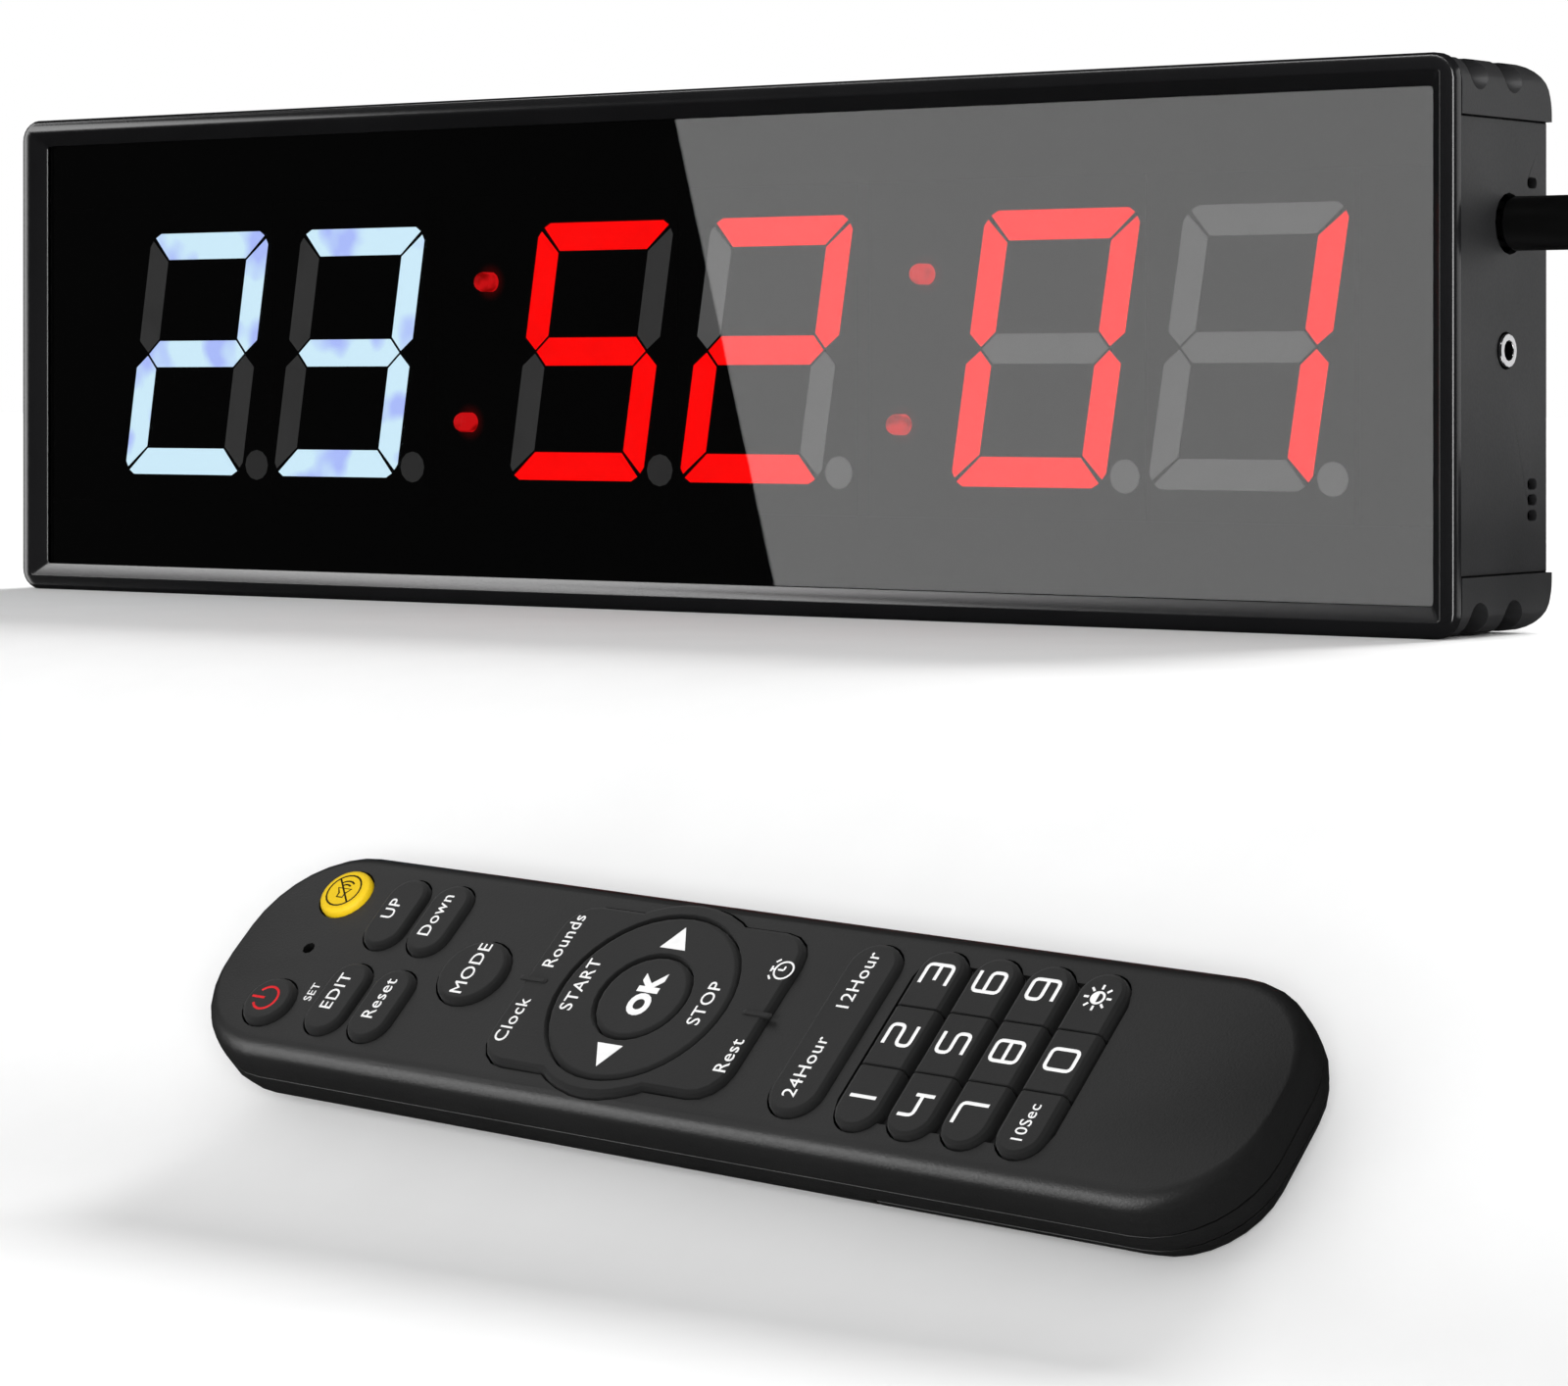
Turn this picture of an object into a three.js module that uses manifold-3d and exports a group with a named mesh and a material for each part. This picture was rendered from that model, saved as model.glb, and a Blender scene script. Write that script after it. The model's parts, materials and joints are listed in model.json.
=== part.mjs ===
// Gym round timer: a wall-hung six-digit LED display, its power lead and adapter, and its remote.
// Millimetres, +Z up. The origin is the centre of the display's back, which lies on the wall,
// and the display faces -Y.
import * as THREE from "three";
import { mergeVertices } from "three/addons/utils/BufferGeometryUtils.js";
import Module from "manifold-3d";

const wasm = await Module();
wasm.setup();

// ---- Driving dimensions: the display ----
const WIDTH = 389;
const HEIGHT = 113;
const DEPTH = 41;
const GAP = 0.3; // air between pieces that touch on the real object
const FRAME_DEPTH = 7;
const LIP_DEPTH = 3; // depth of the frame's outer edge; behind it a skirt goes inside the rails
const SKIRT_INSET = 2.8;
const CORNER_RADIUS = 5;
const BAND = 3.2; // flat front of the frame
const SLOPE_WIDTH = 3;
const SLOPE_DEPTH = 3;
const LENS_THICK = 1;
const LENS_MARGIN = 4; // frame edge to lens edge
const RAIL_HEIGHT = 11.3;
const RAIL_WALL = 2;
const BACK_RADIUS = 10;
const CORNER_LENGTH = 14;
const PLATE_THICK = 1.7;
const PLATE_INSET = 0.8;
const COVER_THICK = 1.8;
const BASE_Z = -HEIGHT / 2;
const KEYHOLE = { x: 120, z: 18, head: 4.5, shank: 2.2, rise: 14 };
const VENT = { width: 2.4, height: 26, pitch: 7, z: -16 };

// ---- Driving dimensions: digits ----
const DIGIT_PITCH = 48;
const DIGIT_GAP = 23.2; // extra room that a colon takes
const FIRST_DIGIT_X = -140.2;
const DIGIT_HEIGHT = 57;
const DIGIT_WIDTH = 37.7; // before the slant
const SEGMENT = 6.2; // width of a lit bar
const SEGMENT_SPLIT = 0.9; // dark gap between bars
const SLANT = Math.tan(THREE.MathUtils.degToRad(9));
const DOT = { x: 19.3, z: -26, radius: 3.5 };
const LED_RADIUS = 2.2;
const MODULE = { width: 47.6, height: 70, front: -35.8, back: -24.3, raised: 0.3 };

// ---- Driving dimensions: sockets in the right end ----
const POWER = { y: -16.5, z: 24.1, radius: 5.35 };
const JACK = { y: -18.1, z: -0.8, radius: 3.4 };
const SLOT = { y: -7, length: 4, height: 2.1 }; // the short slots near the back edge
const SOUND_SLOTS = [-33.3, -30.2, -27.1];
const RESET_SLOT = 32.4;
const SCREWS = [-30.4, -16.2]; // y, the same at the top and the bottom
const SCREW_Z = 53.5;
const COUNTERBORE = { radius: 3.9, depth: 6 };

// ---- Driving dimensions: power lead ----
const LEAD_DIAMETER = 3.6;
const COIL = { x: 313, y: 19, inner: 19.8, outer: 36, height: 7.2 };
const LEAD_POINTS = [
  [226.4, -16.5, 24.1],
  [233, -16.5, 23.6],
  [241, -16.5, 20.8],
  [247.5, -16.5, 15.2],
  [252, -16.5, 7.5],
  [255, -16.5, -2],
  [257.3, -16.5, -13],
  [259.5, -16.5, -24],
  [263, -16.5, -35],
  [269, -16.3, -44.5],
  [277, -15.3, -51.2],
  [285, -14.2, -54.2],
  [292.4, -13.4, -54.7],
];
const ADAPTER = { x: 255, y: 53.2, length: 58, width: 30, height: 28.5, outletZ: -50 };

// ---- Driving dimensions: remote, in its own frame with +X to its foot and +Z out of its keys ----
const REMOTE = { head: -100.3, foot: 95, width: 42, radius: 16, top: -1, seam: -7, bottom: -18.6, wall: 1.8 };
const REMOTE_AT = new THREE.Vector3(208.5, -291.2, -98.4);
const REMOTE_TILT = THREE.MathUtils.degToRad(43); // it leans back as a hand or a stand holds it
const REMOTE_TURN = THREE.MathUtils.degToRad(-3);
const KEY_DEPTH = 3.6;
const KEY_CLEAR = 0.35;
const COVER_START = 34;
const NAV_X = -15.6;
const NAV = { outer: 15.7, inner: 8.3, ok: 7.9 };
const PAD = { length: 46.6, width: 31.2, radius: 5.5, bulge: 18.4 };
const NUMBERS = { x: 32, pitch: 9.25, width: 7.9, length: 32.8, rows: 4 };

// ---- Colours and finishes ----
const material = (color, roughness, metalness = 0) =>
  new THREE.MeshStandardMaterial({ color, roughness, metalness });
const finish = {
  frame: () => material(0x2b2b2c, 0.35, 0.8),
  lens: () => material(0x050505, 0.08),
  casing: () => material(0x333335, 0.5, 0.6),
  digit: () => material(0x141414, 0.6),
  redLed: () => material(0xd01010, 0.3),
  board: () => material(0x1d4a2c, 0.6),
  blackPlastic: () => material(0x121212, 0.5),
  steel: () => material(0xb8b8b8, 0.3, 1),
  shell: () => material(0x242424, 0.55),
  rubber: () => material(0x343434, 0.8),
  yellow: () => material(0xe6c200, 0.7),
  battery: () => material(0x8a6a2a, 0.4, 0.6),
};

// ---- Geometry helpers ----
const geometryOf = (solid) => {
  const mesh = solid.getMesh();
  const geometry = new THREE.BufferGeometry();
  geometry.setAttribute("position", new THREE.BufferAttribute(mesh.vertProperties, 3));
  geometry.setIndex(new THREE.BufferAttribute(mesh.triVerts, 1));
  return geometry;
};

function solidOf(geometry) {
  const bare = new THREE.BufferGeometry();
  const source = geometry.index ? geometry.toNonIndexed() : geometry;
  bare.setAttribute("position", source.getAttribute("position"));
  const merged = mergeVertices(bare, 1e-4);
  const vertProperties = new Float32Array(merged.attributes.position.array);
  const triVerts = new Uint32Array(merged.index.array);
  return new wasm.Manifold(new wasm.Mesh({ numProp: 3, vertProperties, triVerts }));
}

const join = (...pieces) => geometryOf(pieces.map(solidOf).reduce((sum, piece) => sum.add(piece)));
const cut = (base, ...tools) => {
  const start = solidOf(base);
  return geometryOf(tools.reduce((rest, tool) => rest.subtract(solidOf(tool)), start));
};
const common = (a, b) => geometryOf(solidOf(a).intersect(solidOf(b)));

function box([x0, x1], [y0, y1], [z0, z1]) {
  const made = new THREE.BoxGeometry(x1 - x0, y1 - y0, z1 - z0);
  return made.translate((x0 + x1) / 2, (y0 + y1) / 2, (z0 + z1) / 2);
}

// A rectangle with round corners, counter-clockwise round (0, 0); a large radius makes a capsule.
function outline(width, height, radius, steps = 4) {
  const r = Math.min(radius, width / 2, height / 2);
  const points = [];
  [[1, 1], [-1, 1], [-1, -1], [1, -1]].forEach(([sx, sy], quarter) => {
    for (let i = 0; i <= steps; i++) {
      const angle = ((quarter + i / steps) * Math.PI) / 2;
      const x = sx * (width / 2 - r) + r * Math.cos(angle);
      const y = sy * (height / 2 - r) + r * Math.sin(angle);
      points.push(new THREE.Vector2(x, y));
    }
  });
  return points.filter((p, i) => p.distanceTo(points.at(i - 1)) > 1e-6);
}

// A closed solid through convex rings of equal point counts, each { z, points }, from the lowest up.
function loft(rings) {
  const count = rings[0].points.length;
  const positions = [];
  rings.forEach(({ z, points }) => points.forEach((p) => positions.push(p.x, p.y, z)));
  positions.push(0, 0, rings[0].z, 0, 0, rings.at(-1).z);
  const below = rings.length * count;
  const lastRing = below - count;
  const index = [];
  for (let i = 0; i < count; i++) {
    const next = (i + 1) % count;
    for (let ring = 0; ring < rings.length - 1; ring++) {
      const a = ring * count + i;
      const b = ring * count + next;
      index.push(a, b, b + count, a, b + count, a + count);
    }
    index.push(below, next, i, below + 1, lastRing + i, lastRing + next);
  }
  const geometry = new THREE.BufferGeometry();
  geometry.setAttribute("position", new THREE.Float32BufferAttribute(positions, 3));
  return geometry.setIndex(index);
}

// A plate with round corners whose edges shrink by the inset given at each level [z, inset].
function plate(width, height, radius, levels, steps) {
  const ringAt = ([z, inset]) => ({
    z,
    points: outline(width - 2 * inset, height - 2 * inset, radius - inset, steps),
  });
  return loft(levels.map(ringAt));
}

const disc = (radius, levels, steps) => plate(2 * radius, 2 * radius, radius, levels, steps);

// Turns a shape drawn in XY and raised along Z so that it is drawn in XZ and raised towards -Y.
const facingFront = (geometry) => geometry.rotateX(Math.PI / 2);

// Turns a shape drawn in XY and raised along Z so that it is drawn in YZ and raised along +X.
const alongX = (geometry) =>
  geometry.applyMatrix4(
    new THREE.Matrix4().makeBasis(
      new THREE.Vector3(0, 1, 0),
      new THREE.Vector3(0, 0, 1),
      new THREE.Vector3(1, 0, 0),
    ),
  );

const rod = (radius, x0, x1, y, z, steps = 4) =>
  alongX(disc(radius, [[x0, 0], [x1, 0]], steps)).translate(0, y, z);

// The mirror image in x or z, with its faces turned back outwards.
function mirrored(geometry, x, z) {
  const made = geometry.clone().scale(x, 1, z);
  if (x * z > 0) return made;
  const { array } = made.index;
  for (let i = 0; i < array.length; i += 3) {
    [array[i], array[i + 1]] = [array[i + 1], array[i]];
  }
  return made;
}

const timer = new THREE.Group();
const remote = new THREE.Group();
remote.position.copy(REMOTE_AT);
remote.rotation.set(REMOTE_TILT, 0, REMOTE_TURN, "XYZ");
timer.add(remote);

function add(group, name, geometry, look) {
  const mesh = new THREE.Mesh(geometry, look());
  mesh.name = name;
  group.add(mesh);
  return mesh;
}

// ---- Display: frame and lens ----
const front = -DEPTH;
const frameBack = front + FRAME_DEPTH;
const lensFront = front + SLOPE_DEPTH;

function frontFrame() {
  const rim = 1.2; // rounding of the outer front edge
  const lipBack = -front - LIP_DEPTH;
  const levels = [[lipBack, 0], [-front - rim, 0], [-front - rim / 3, rim / 3], [-front, rim]];
  const lip = plate(WIDTH, HEIGHT, CORNER_RADIUS, levels, 6);
  const skirtLevels = [[-frameBack, 0], [lipBack + 1, 0]];
  const inset = 2 * SKIRT_INSET;
  const skirt = plate(WIDTH - inset, HEIGHT - inset, CORNER_RADIUS - SKIRT_INSET, skirtLevels);
  const body = facingFront(join(lip, skirt));
  const slopeStart = 2 * BAND;
  const slopeEnd = 2 * (BAND + SLOPE_WIDTH);
  const size = (shrink) => outline(WIDTH - shrink, HEIGHT - shrink, 0.6, 1);
  const window = facingFront(
    loft([
      { z: -frameBack - 1, points: size(slopeEnd) },
      { z: -lensFront, points: size(slopeEnd) },
      { z: -front, points: size(slopeStart) },
      { z: -front + 1, points: size(slopeStart) },
    ]),
  );
  const seat = 2 * (LENS_MARGIN - GAP);
  const rebate = facingFront(
    plate(WIDTH - seat, HEIGHT - seat, 1, [[-frameBack - 1, 0], [-lensFront - GAP, 0]], 1),
  );
  return cut(body, window, rebate);
}

function frontLens() {
  const face = -lensFront - 2 * GAP;
  const levels = [[face - LENS_THICK, 0], [face, 0]];
  return facingFront(plate(WIDTH - 2 * LENS_MARGIN, HEIGHT - 2 * LENS_MARGIN, 1, levels, 1));
}

// ---- Display: rails, corners, ends and back ----
const railFront = front + LIP_DEPTH + GAP;
const railTop = HEIGHT / 2 - 0.5;
const railBottom = railTop - RAIL_HEIGHT;

// The outer profile of a rail in YZ, grown inwards by an inset, with the big radius at the back.
function railProfile(inset, low) {
  const shape = new THREE.Shape();
  const r = BACK_RADIUS;
  shape.moveTo(railFront, low);
  shape.lineTo(-inset, low);
  shape.lineTo(-inset, railTop - r);
  shape.absarc(-r, railTop - r, r - inset, 0, Math.PI / 2, false);
  shape.lineTo(railFront, railTop - inset);
  shape.closePath();
  return shape;
}

const extrudeX = (shape, x0, x1) => {
  const settings = { depth: x1 - x0, bevelEnabled: false, curveSegments: 6 };
  return alongX(new THREE.ExtrudeGeometry(shape, settings)).translate(x0, 0, 0);
};

const endX = WIDTH / 2;
const railEnd = endX - CORNER_LENGTH - GAP;

function rail() {
  const bar = extrudeX(railProfile(0, railBottom), -railEnd, railEnd);
  const hollow = extrudeX(railProfile(RAIL_WALL, railBottom - 1), -railEnd - 1, railEnd + 1);
  const bosses = SCREWS.map((y) => rod(2.4, -railEnd, railEnd, y, SCREW_Z));
  const bores = SCREWS.map((y) => rod(1.3, -railEnd - 1, railEnd + 1, y, SCREW_Z));
  return cut(join(cut(bar, hollow), ...bosses), ...bores);
}

// Room behind the frame's lip for its skirt.
const skirtRoom = () =>
  box(
    [0, endX - SKIRT_INSET + GAP],
    [front, frameBack + GAP],
    [0, HEIGHT / 2 - SKIRT_INSET + GAP],
  );

function cornerBlock() {
  const start = endX - CORNER_LENGTH;
  const square = extrudeX(railProfile(0, railBottom), start, endX);
  const roundEdge = facingFront(plate(WIDTH, 2 * railTop, CORNER_RADIUS, [[-1, 0], [DEPTH, 0]], 6));
  const { radius, depth } = COUNTERBORE;
  const counterbores = SCREWS.map((y) => rod(radius, endX - depth, endX + 1, y, SCREW_Z, 6));
  const clearances = SCREWS.map((y) => rod(1.7, start - 1, endX, y, SCREW_Z, 3));
  const pocket = box([start - 1, endX - 7.5], [railFront + 6, -3], [railBottom - 1, railBottom + 4]);
  const tongue = box(
    [endX - 5, plateInner - GAP],
    [-32, -COVER_THICK - GAP],
    [railBottom - 3, railBottom + 1],
  );
  const block = cut(common(square, roundEdge), ...counterbores, ...clearances, pocket);
  return cut(join(block, tongue), skirtRoom());
}

const plateOuter = endX - PLATE_INSET;
const plateInner = plateOuter - PLATE_THICK;
const sheetHeight = 2 * (railBottom - GAP);

function endPlate() {
  const high = sheetHeight / 2;
  return box([plateInner, plateOuter], [railFront, -PLATE_INSET], [-high, high]);
}

function drilledEndPlate() {
  const x0 = endX - 5;
  const x1 = endX + 1;
  const slotLevels = [[x0, 0], [x1, 0]];
  const slots = [...SOUND_SLOTS, RESET_SLOT].map((z) =>
    alongX(plate(SLOT.length, SLOT.height, SLOT.height / 2, slotLevels)).translate(0, SLOT.y, z),
  );
  return cut(
    endPlate(),
    rod(POWER.radius + 0.7, x0, x1, POWER.y, POWER.z),
    rod(JACK.radius + GAP, x0, x1, JACK.y, JACK.z),
    ...slots,
  );
}

function backCover() {
  const high = sheetHeight / 2;
  const half = plateInner - GAP;
  const sheet = box([-half, half], [-COVER_THICK, 0], [-high, high]);
  const through = [[-1, 0], [COVER_THICK + 1, 0]];
  const { x: side, z, head, shank, rise } = KEYHOLE;
  const keyholes = [-side, side].flatMap((x) => [
    facingFront(disc(head, through, 3)).translate(x, 0, z),
    facingFront(plate(2 * shank, rise, shank, through, 2)).translate(x, 0, z + rise / 2 - 1),
  ]);
  const vents = [];
  for (let i = -4; i <= 4; i++) {
    const slot = facingFront(plate(VENT.width, VENT.height, VENT.width / 2, through, 2));
    vents.push(slot.translate(i * VENT.pitch, 0, VENT.z));
  }
  return cut(sheet, ...keyholes, ...vents);
}

// ---- Display: board, digits and small parts ----
const boardBack = MODULE.back + GAP + 1.6;

// The corners of the seven bars: a long bar is mitred at both ends, and the middle one is pointed.
function segmentShapes() {
  const w = DIGIT_WIDTH / 2;
  const h = DIGIT_HEIGHT / 2;
  const t = SEGMENT;
  const s = SEGMENT_SPLIT / 2;
  const round = 2.6;
  const top = [
    [-w + round + s, h], [-w + s + 1, h - 1], [-w + t + s, h - t],
    [w - t - s, h - t], [w - s - 1, h - 1], [w - round - s, h],
  ];
  const middle = [
    [-w + s + t / 2, 0], [-w + t + s, t / 2], [w - t - s, t / 2],
    [w - s - t / 2, 0], [w - t - s, -t / 2], [-w + t + s, -t / 2],
  ];
  const side = [
    [w, h - round - s], [w - 1 + 0.2, h - 1 - s - 0.4], [w - t, h - t - s],
    [w - t, t / 2 + s], [w - t / 2, s], [w, t / 2 + s - 0.4],
  ];
  const mirrorX = (points) => points.map(([x, y]) => [-x, y]);
  const mirrorY = (points) => points.map(([x, y]) => [x, -y]);
  return [
    top, mirrorY(top), middle, side, mirrorX(side), mirrorY(side), mirrorY(mirrorX(side)),
  ].map((points) => points.map(([x, y]) => new THREE.Vector2(x + y * SLANT, y)));
}

function digit(x) {
  const { width, height, front: face, back, raised } = MODULE;
  const body = box([-width / 2, width / 2], [face, back], [-height / 2, height / 2]);
  const settings = { depth: raised + 0.5, bevelEnabled: false };
  const bars = segmentShapes().map((points) => {
    const ordered = THREE.ShapeUtils.isClockWise(points) ? [...points].reverse() : points;
    return new THREE.ExtrudeGeometry(new THREE.Shape(ordered), settings);
  });
  const dot = disc(DOT.radius, [[0, 0], [raised + 0.5, 0]], 3).translate(DOT.x, DOT.z, 0);
  const lit = [...bars, dot].map((bar) => facingFront(bar).translate(0, face + 0.5, 0));
  return join(body, ...lit).translate(x, 0, 0);
}

const digitXs = [];
for (let i = 0; i < 6; i++) {
  digitXs.push(FIRST_DIGIT_X + i * DIGIT_PITCH + Math.floor(i / 2) * DIGIT_GAP);
}

function colonLed() {
  const levels = [[-boardBack + 1.9, 0], [34.4, 0], [35.2, 0.3], [35.8, 0.9], [36, 1.6]];
  return facingFront(disc(LED_RADIUS, levels, 5));
}

function displayBoard() {
  const half = endX - 8;
  return box([-half, half], [MODULE.back + GAP, boardBack], [-42, 42]);
}

function powerSocket() {
  const back = endX - 17;
  const face = plateInner - GAP;
  const body = box([back, face], [POWER.y - 5, POWER.y + 6], [POWER.z - 4.5, POWER.z + 4.5]);
  return cut(body, rod(3.1, back + 2, face + 1, POWER.y, POWER.z));
}

function powerPlug() {
  const start = plateOuter + GAP;
  const barrel = rod(2.75, start - 10, start + 1, POWER.y, POWER.z, 3);
  const grip = [[start, 0.6], [start + 0.8, 0], [start + 18, 0], [start + 20, 0.9]];
  const boot = [[start + 24, 2.2], [start + 31.6, 3.1]];
  const body = alongX(disc(POWER.radius, [...grip, ...boot], 3)).translate(0, POWER.y, POWER.z);
  return join(barrel, body);
}

function jackSocket() {
  const sleeve = rod(JACK.radius, endX - 12, endX - 0.1, JACK.y, JACK.z);
  return cut(sleeve, rod(1.9, endX - 10, endX + 1, JACK.y, JACK.z, 3));
}

const buzzer = () =>
  facingFront(disc(5.5, [[0, 0], [8, 0]], 3)).translate(150, boardBack + GAP + 8, -30);

function irReceiver() {
  const body = box([-3, 3], [-31, MODULE.back - 0.2], [-4, 4]);
  const dome = facingFront(disc(2.4, [[30, 0], [32.4, 0.2], [33.2, 1.2]], 3));
  return join(body, dome).translate(180, 0, -36);
}

// ---- Power lead ----
function leadTube() {
  const points = LEAD_POINTS.map((p) => new THREE.Vector3(...p));
  const extrudePath = new THREE.CatmullRomCurve3(points);
  const section = new THREE.Shape(outline(LEAD_DIAMETER, LEAD_DIAMETER, LEAD_DIAMETER / 2, 2));
  return new THREE.ExtrudeGeometry(section, { extrudePath, steps: 14, bevelEnabled: false });
}

function leadCoil() {
  const { inner, outer, height } = COIL;
  const profile = [[inner, 0], [outer, 0], [outer, height], [inner, height], [inner, 0]];
  const ring = new THREE.LatheGeometry(profile.map(([r, y]) => new THREE.Vector2(r, y)), 24);
  return ring.rotateX(Math.PI / 2).translate(COIL.x, COIL.y, BASE_Z);
}

function powerAdapter() {
  const { x, y, length, width, height, outletZ } = ADAPTER;
  const levels = [[0, 1.5], [1.5, 0], [height - 1.5, 0], [height, 1.5]];
  const body = plate(length, width, 4, levels, 3).translate(x, y, BASE_Z);
  const end = x + length / 2;
  const relief = alongX(disc(3, [[end - 1, 0], [end + 11, 0.8]], 2)).translate(0, y, outletZ);
  const blades = [-6.35, 6.35].map((side) =>
    box([x - length / 2 - 16, x - length / 2 + 1], [-0.75, 0.75], [-3.2, 3.2]).translate(
      0,
      y + side,
      BASE_Z + height / 2,
    ),
  );
  return join(body, relief, ...blades);
}

// ---- Remote: shells ----
// Levels of the body from the lowest up: height, inset of the long sides, inset of the ends.
const SHELL_LEVELS = [
  [REMOTE.bottom, 9.5, 10],
  [REMOTE.bottom + 0.7, 7.3, 7.6],
  [REMOTE.bottom + 2, 4.9, 5.1],
  [REMOTE.bottom + 4, 2.6, 2.8],
  [REMOTE.bottom + 6.5, 0.9, 1],
  [REMOTE.bottom + 9, 0.1, 0.1],
  [REMOTE.seam, 0, 0],
  [REMOTE.top - 4, 0.1, 0],
  [REMOTE.top - 2.2, 0.4, 0.05],
  [REMOTE.top - 1.1, 1, 0.2],
  [REMOTE.top - 0.45, 1.9, 0.4],
  [REMOTE.top - 0.1, 2.8, 0.7],
  [REMOTE.top, 3.6, 1.1],
];

function remoteLoft(levels, wall, steps) {
  const { head, foot, width, radius } = REMOTE;
  const ringAt = ([z, side, end]) => ({
    z,
    points: outline(
      foot - head - 2 * (wall + end),
      width - 2 * (wall + side),
      radius - wall - Math.min(side, end),
      steps,
    ),
  });
  return loft(levels.map(ringAt)).translate((head + foot) / 2, 0, 0);
}

const remoteBody = () => remoteLoft(SHELL_LEVELS, 0, 8);

function remoteHollow() {
  const { wall, top, bottom } = REMOTE;
  const levels = [[bottom + 1.5, 8.5, 9], [bottom + 5.8, 2.2, 2.4], [bottom + 9.6, 0.6, 0.6]];
  return remoteLoft([...levels, [top - 3.4, 0.9, 0.6], [top - wall, 3, 1]], wall, 5);
}

const everywhere = [-200, 200];
const above = (z) => box(everywhere, everywhere, [z, 50]);
const below = (z) => box(everywhere, everywhere, [-60, z]);

// ---- Remote: keys, each as its plan size, place, and how it is cut into the top ----
const roundKey = (radius, x, y) => ({ width: 2 * radius, height: 2 * radius, radius, x, y });
const longKey = (width, height, x, y) => ({ width, height, radius: width / 2, x, y });
const KEYS = {
  power_key: roundKey(4.6, -84.9, -11.3),
  mute_key: roundKey(4.6, -84.9, 11.3),
  edit_key: longKey(7.8, 14.2, -72, -8.7),
  up_key: longKey(7.8, 14.2, -72, 8.7),
  reset_key: longKey(7.8, 14.2, -62.8, -8.7),
  down_key: longKey(7.8, 14.2, -62.8, 8.7),
  round_key: roundKey(6.2, -49.7, 0),
  ok_key: roundKey(NAV.ok, NAV_X, 0),
  hour_rocker: longKey(9, 32, 20.2, 0),
};

const keyLevels = [[-KEY_DEPTH, 0], [-0.9, 0], [-0.35, 0.2], [0, 0.75]];
const holeLevels = [[-KEY_DEPTH - 2, 0], [1, 0]];

const keyCap = ({ width, height, radius, x, y }) =>
  plate(width, height, radius, keyLevels, 6).translate(x, y, 0);

function keyHole({ width, height, radius, x, y }) {
  const grow = 2 * KEY_CLEAR;
  const opening = plate(width + grow, height + grow, radius + KEY_CLEAR, holeLevels, 6);
  return opening.translate(x, y, 0);
}

// The plate round the ring: a rounded rectangle with a round bulge over the ring.
function padShape(grow, levels) {
  const { length, width, radius, bulge } = PAD;
  const slab = plate(length + 2 * grow, width + 2 * grow, radius + grow, levels, 4);
  return join(slab, disc(bulge + grow, levels, 10)).translate(NAV_X, 0, 0);
}

function functionPad() {
  const hole = disc(NAV.outer + KEY_CLEAR, holeLevels, 10).translate(NAV_X, 0, 0);
  return cut(padShape(0, keyLevels), hole);
}

function navRing() {
  const { outer, inner } = NAV;
  const hole = disc(inner, holeLevels, 7);
  return cut(disc(outer, keyLevels, 10), hole).translate(NAV_X, 0, 0);
}

const numberX = (row) => NUMBERS.x + row * NUMBERS.pitch;
const numberStrip = (row) => longKey(NUMBERS.width, NUMBERS.length, numberX(row), 0);

// A third of a strip: column -1, 0 or 1 across the remote.
function numberKey(row, column) {
  const third = NUMBERS.length / 3;
  const middle = column * third;
  const inset = GAP / 2;
  const reach = [middle - third / 2 + inset, middle + third / 2 - inset];
  return common(keyCap(numberStrip(row)), box(everywhere, reach, [-20, 20]));
}

function upperShell() {
  const rows = [...Array(NUMBERS.rows).keys()];
  const holes = [...Object.values(KEYS), ...rows.map(numberStrip)].map(keyHole);
  const recessLength = (NUMBERS.rows - 1) * NUMBERS.pitch + NUMBERS.width + 1.6;
  const recessMiddle = numberX(1.5);
  const recess = plate(recessLength, NUMBERS.length - 4, 3, [[-1.8, 0], [1, 0]], 3);
  const ledHole = disc(1.1, holeLevels, 2).translate(-84.9, 0, 0);
  return cut(
    remoteBody(),
    below(REMOTE.seam),
    remoteHollow(),
    padShape(KEY_CLEAR, holeLevels),
    recess.translate(recessMiddle, 0, 0),
    ledHole,
    ...holes,
  );
}

function lowerShell() {
  const coverRoom = box([COVER_START, 200], everywhere, [-60, REMOTE.seam - 3.6]);
  const ledWindow = rod(2.4 + GAP, -110, -90, 0, -10.6, 3);
  return cut(remoteBody(), above(REMOTE.seam - GAP), remoteHollow(), coverRoom, ledWindow);
}

function batteryCover() {
  const start = COVER_START + GAP;
  const room = box([start, 200], everywhere, [-60, REMOTE.seam - 3.6 - GAP]);
  return cut(common(remoteBody(), room), remoteHollow());
}

const remoteBoard = () => plate(150, 34, 4, [[-6.2, 0], [-5, 0]], 2).translate(-14, 0, 0);

function battery(y) {
  const radius = 5.2;
  const length = 44.5;
  const start = 37;
  const z = -11.7;
  const can = rod(radius, start, start + length - 1, y, z, 4);
  return join(can, rod(1.8, start, start + length, y, z, 2));
}

const remoteLed = () => rod(2.4, -99.2, -90, 0, -10.6, 3);

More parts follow.
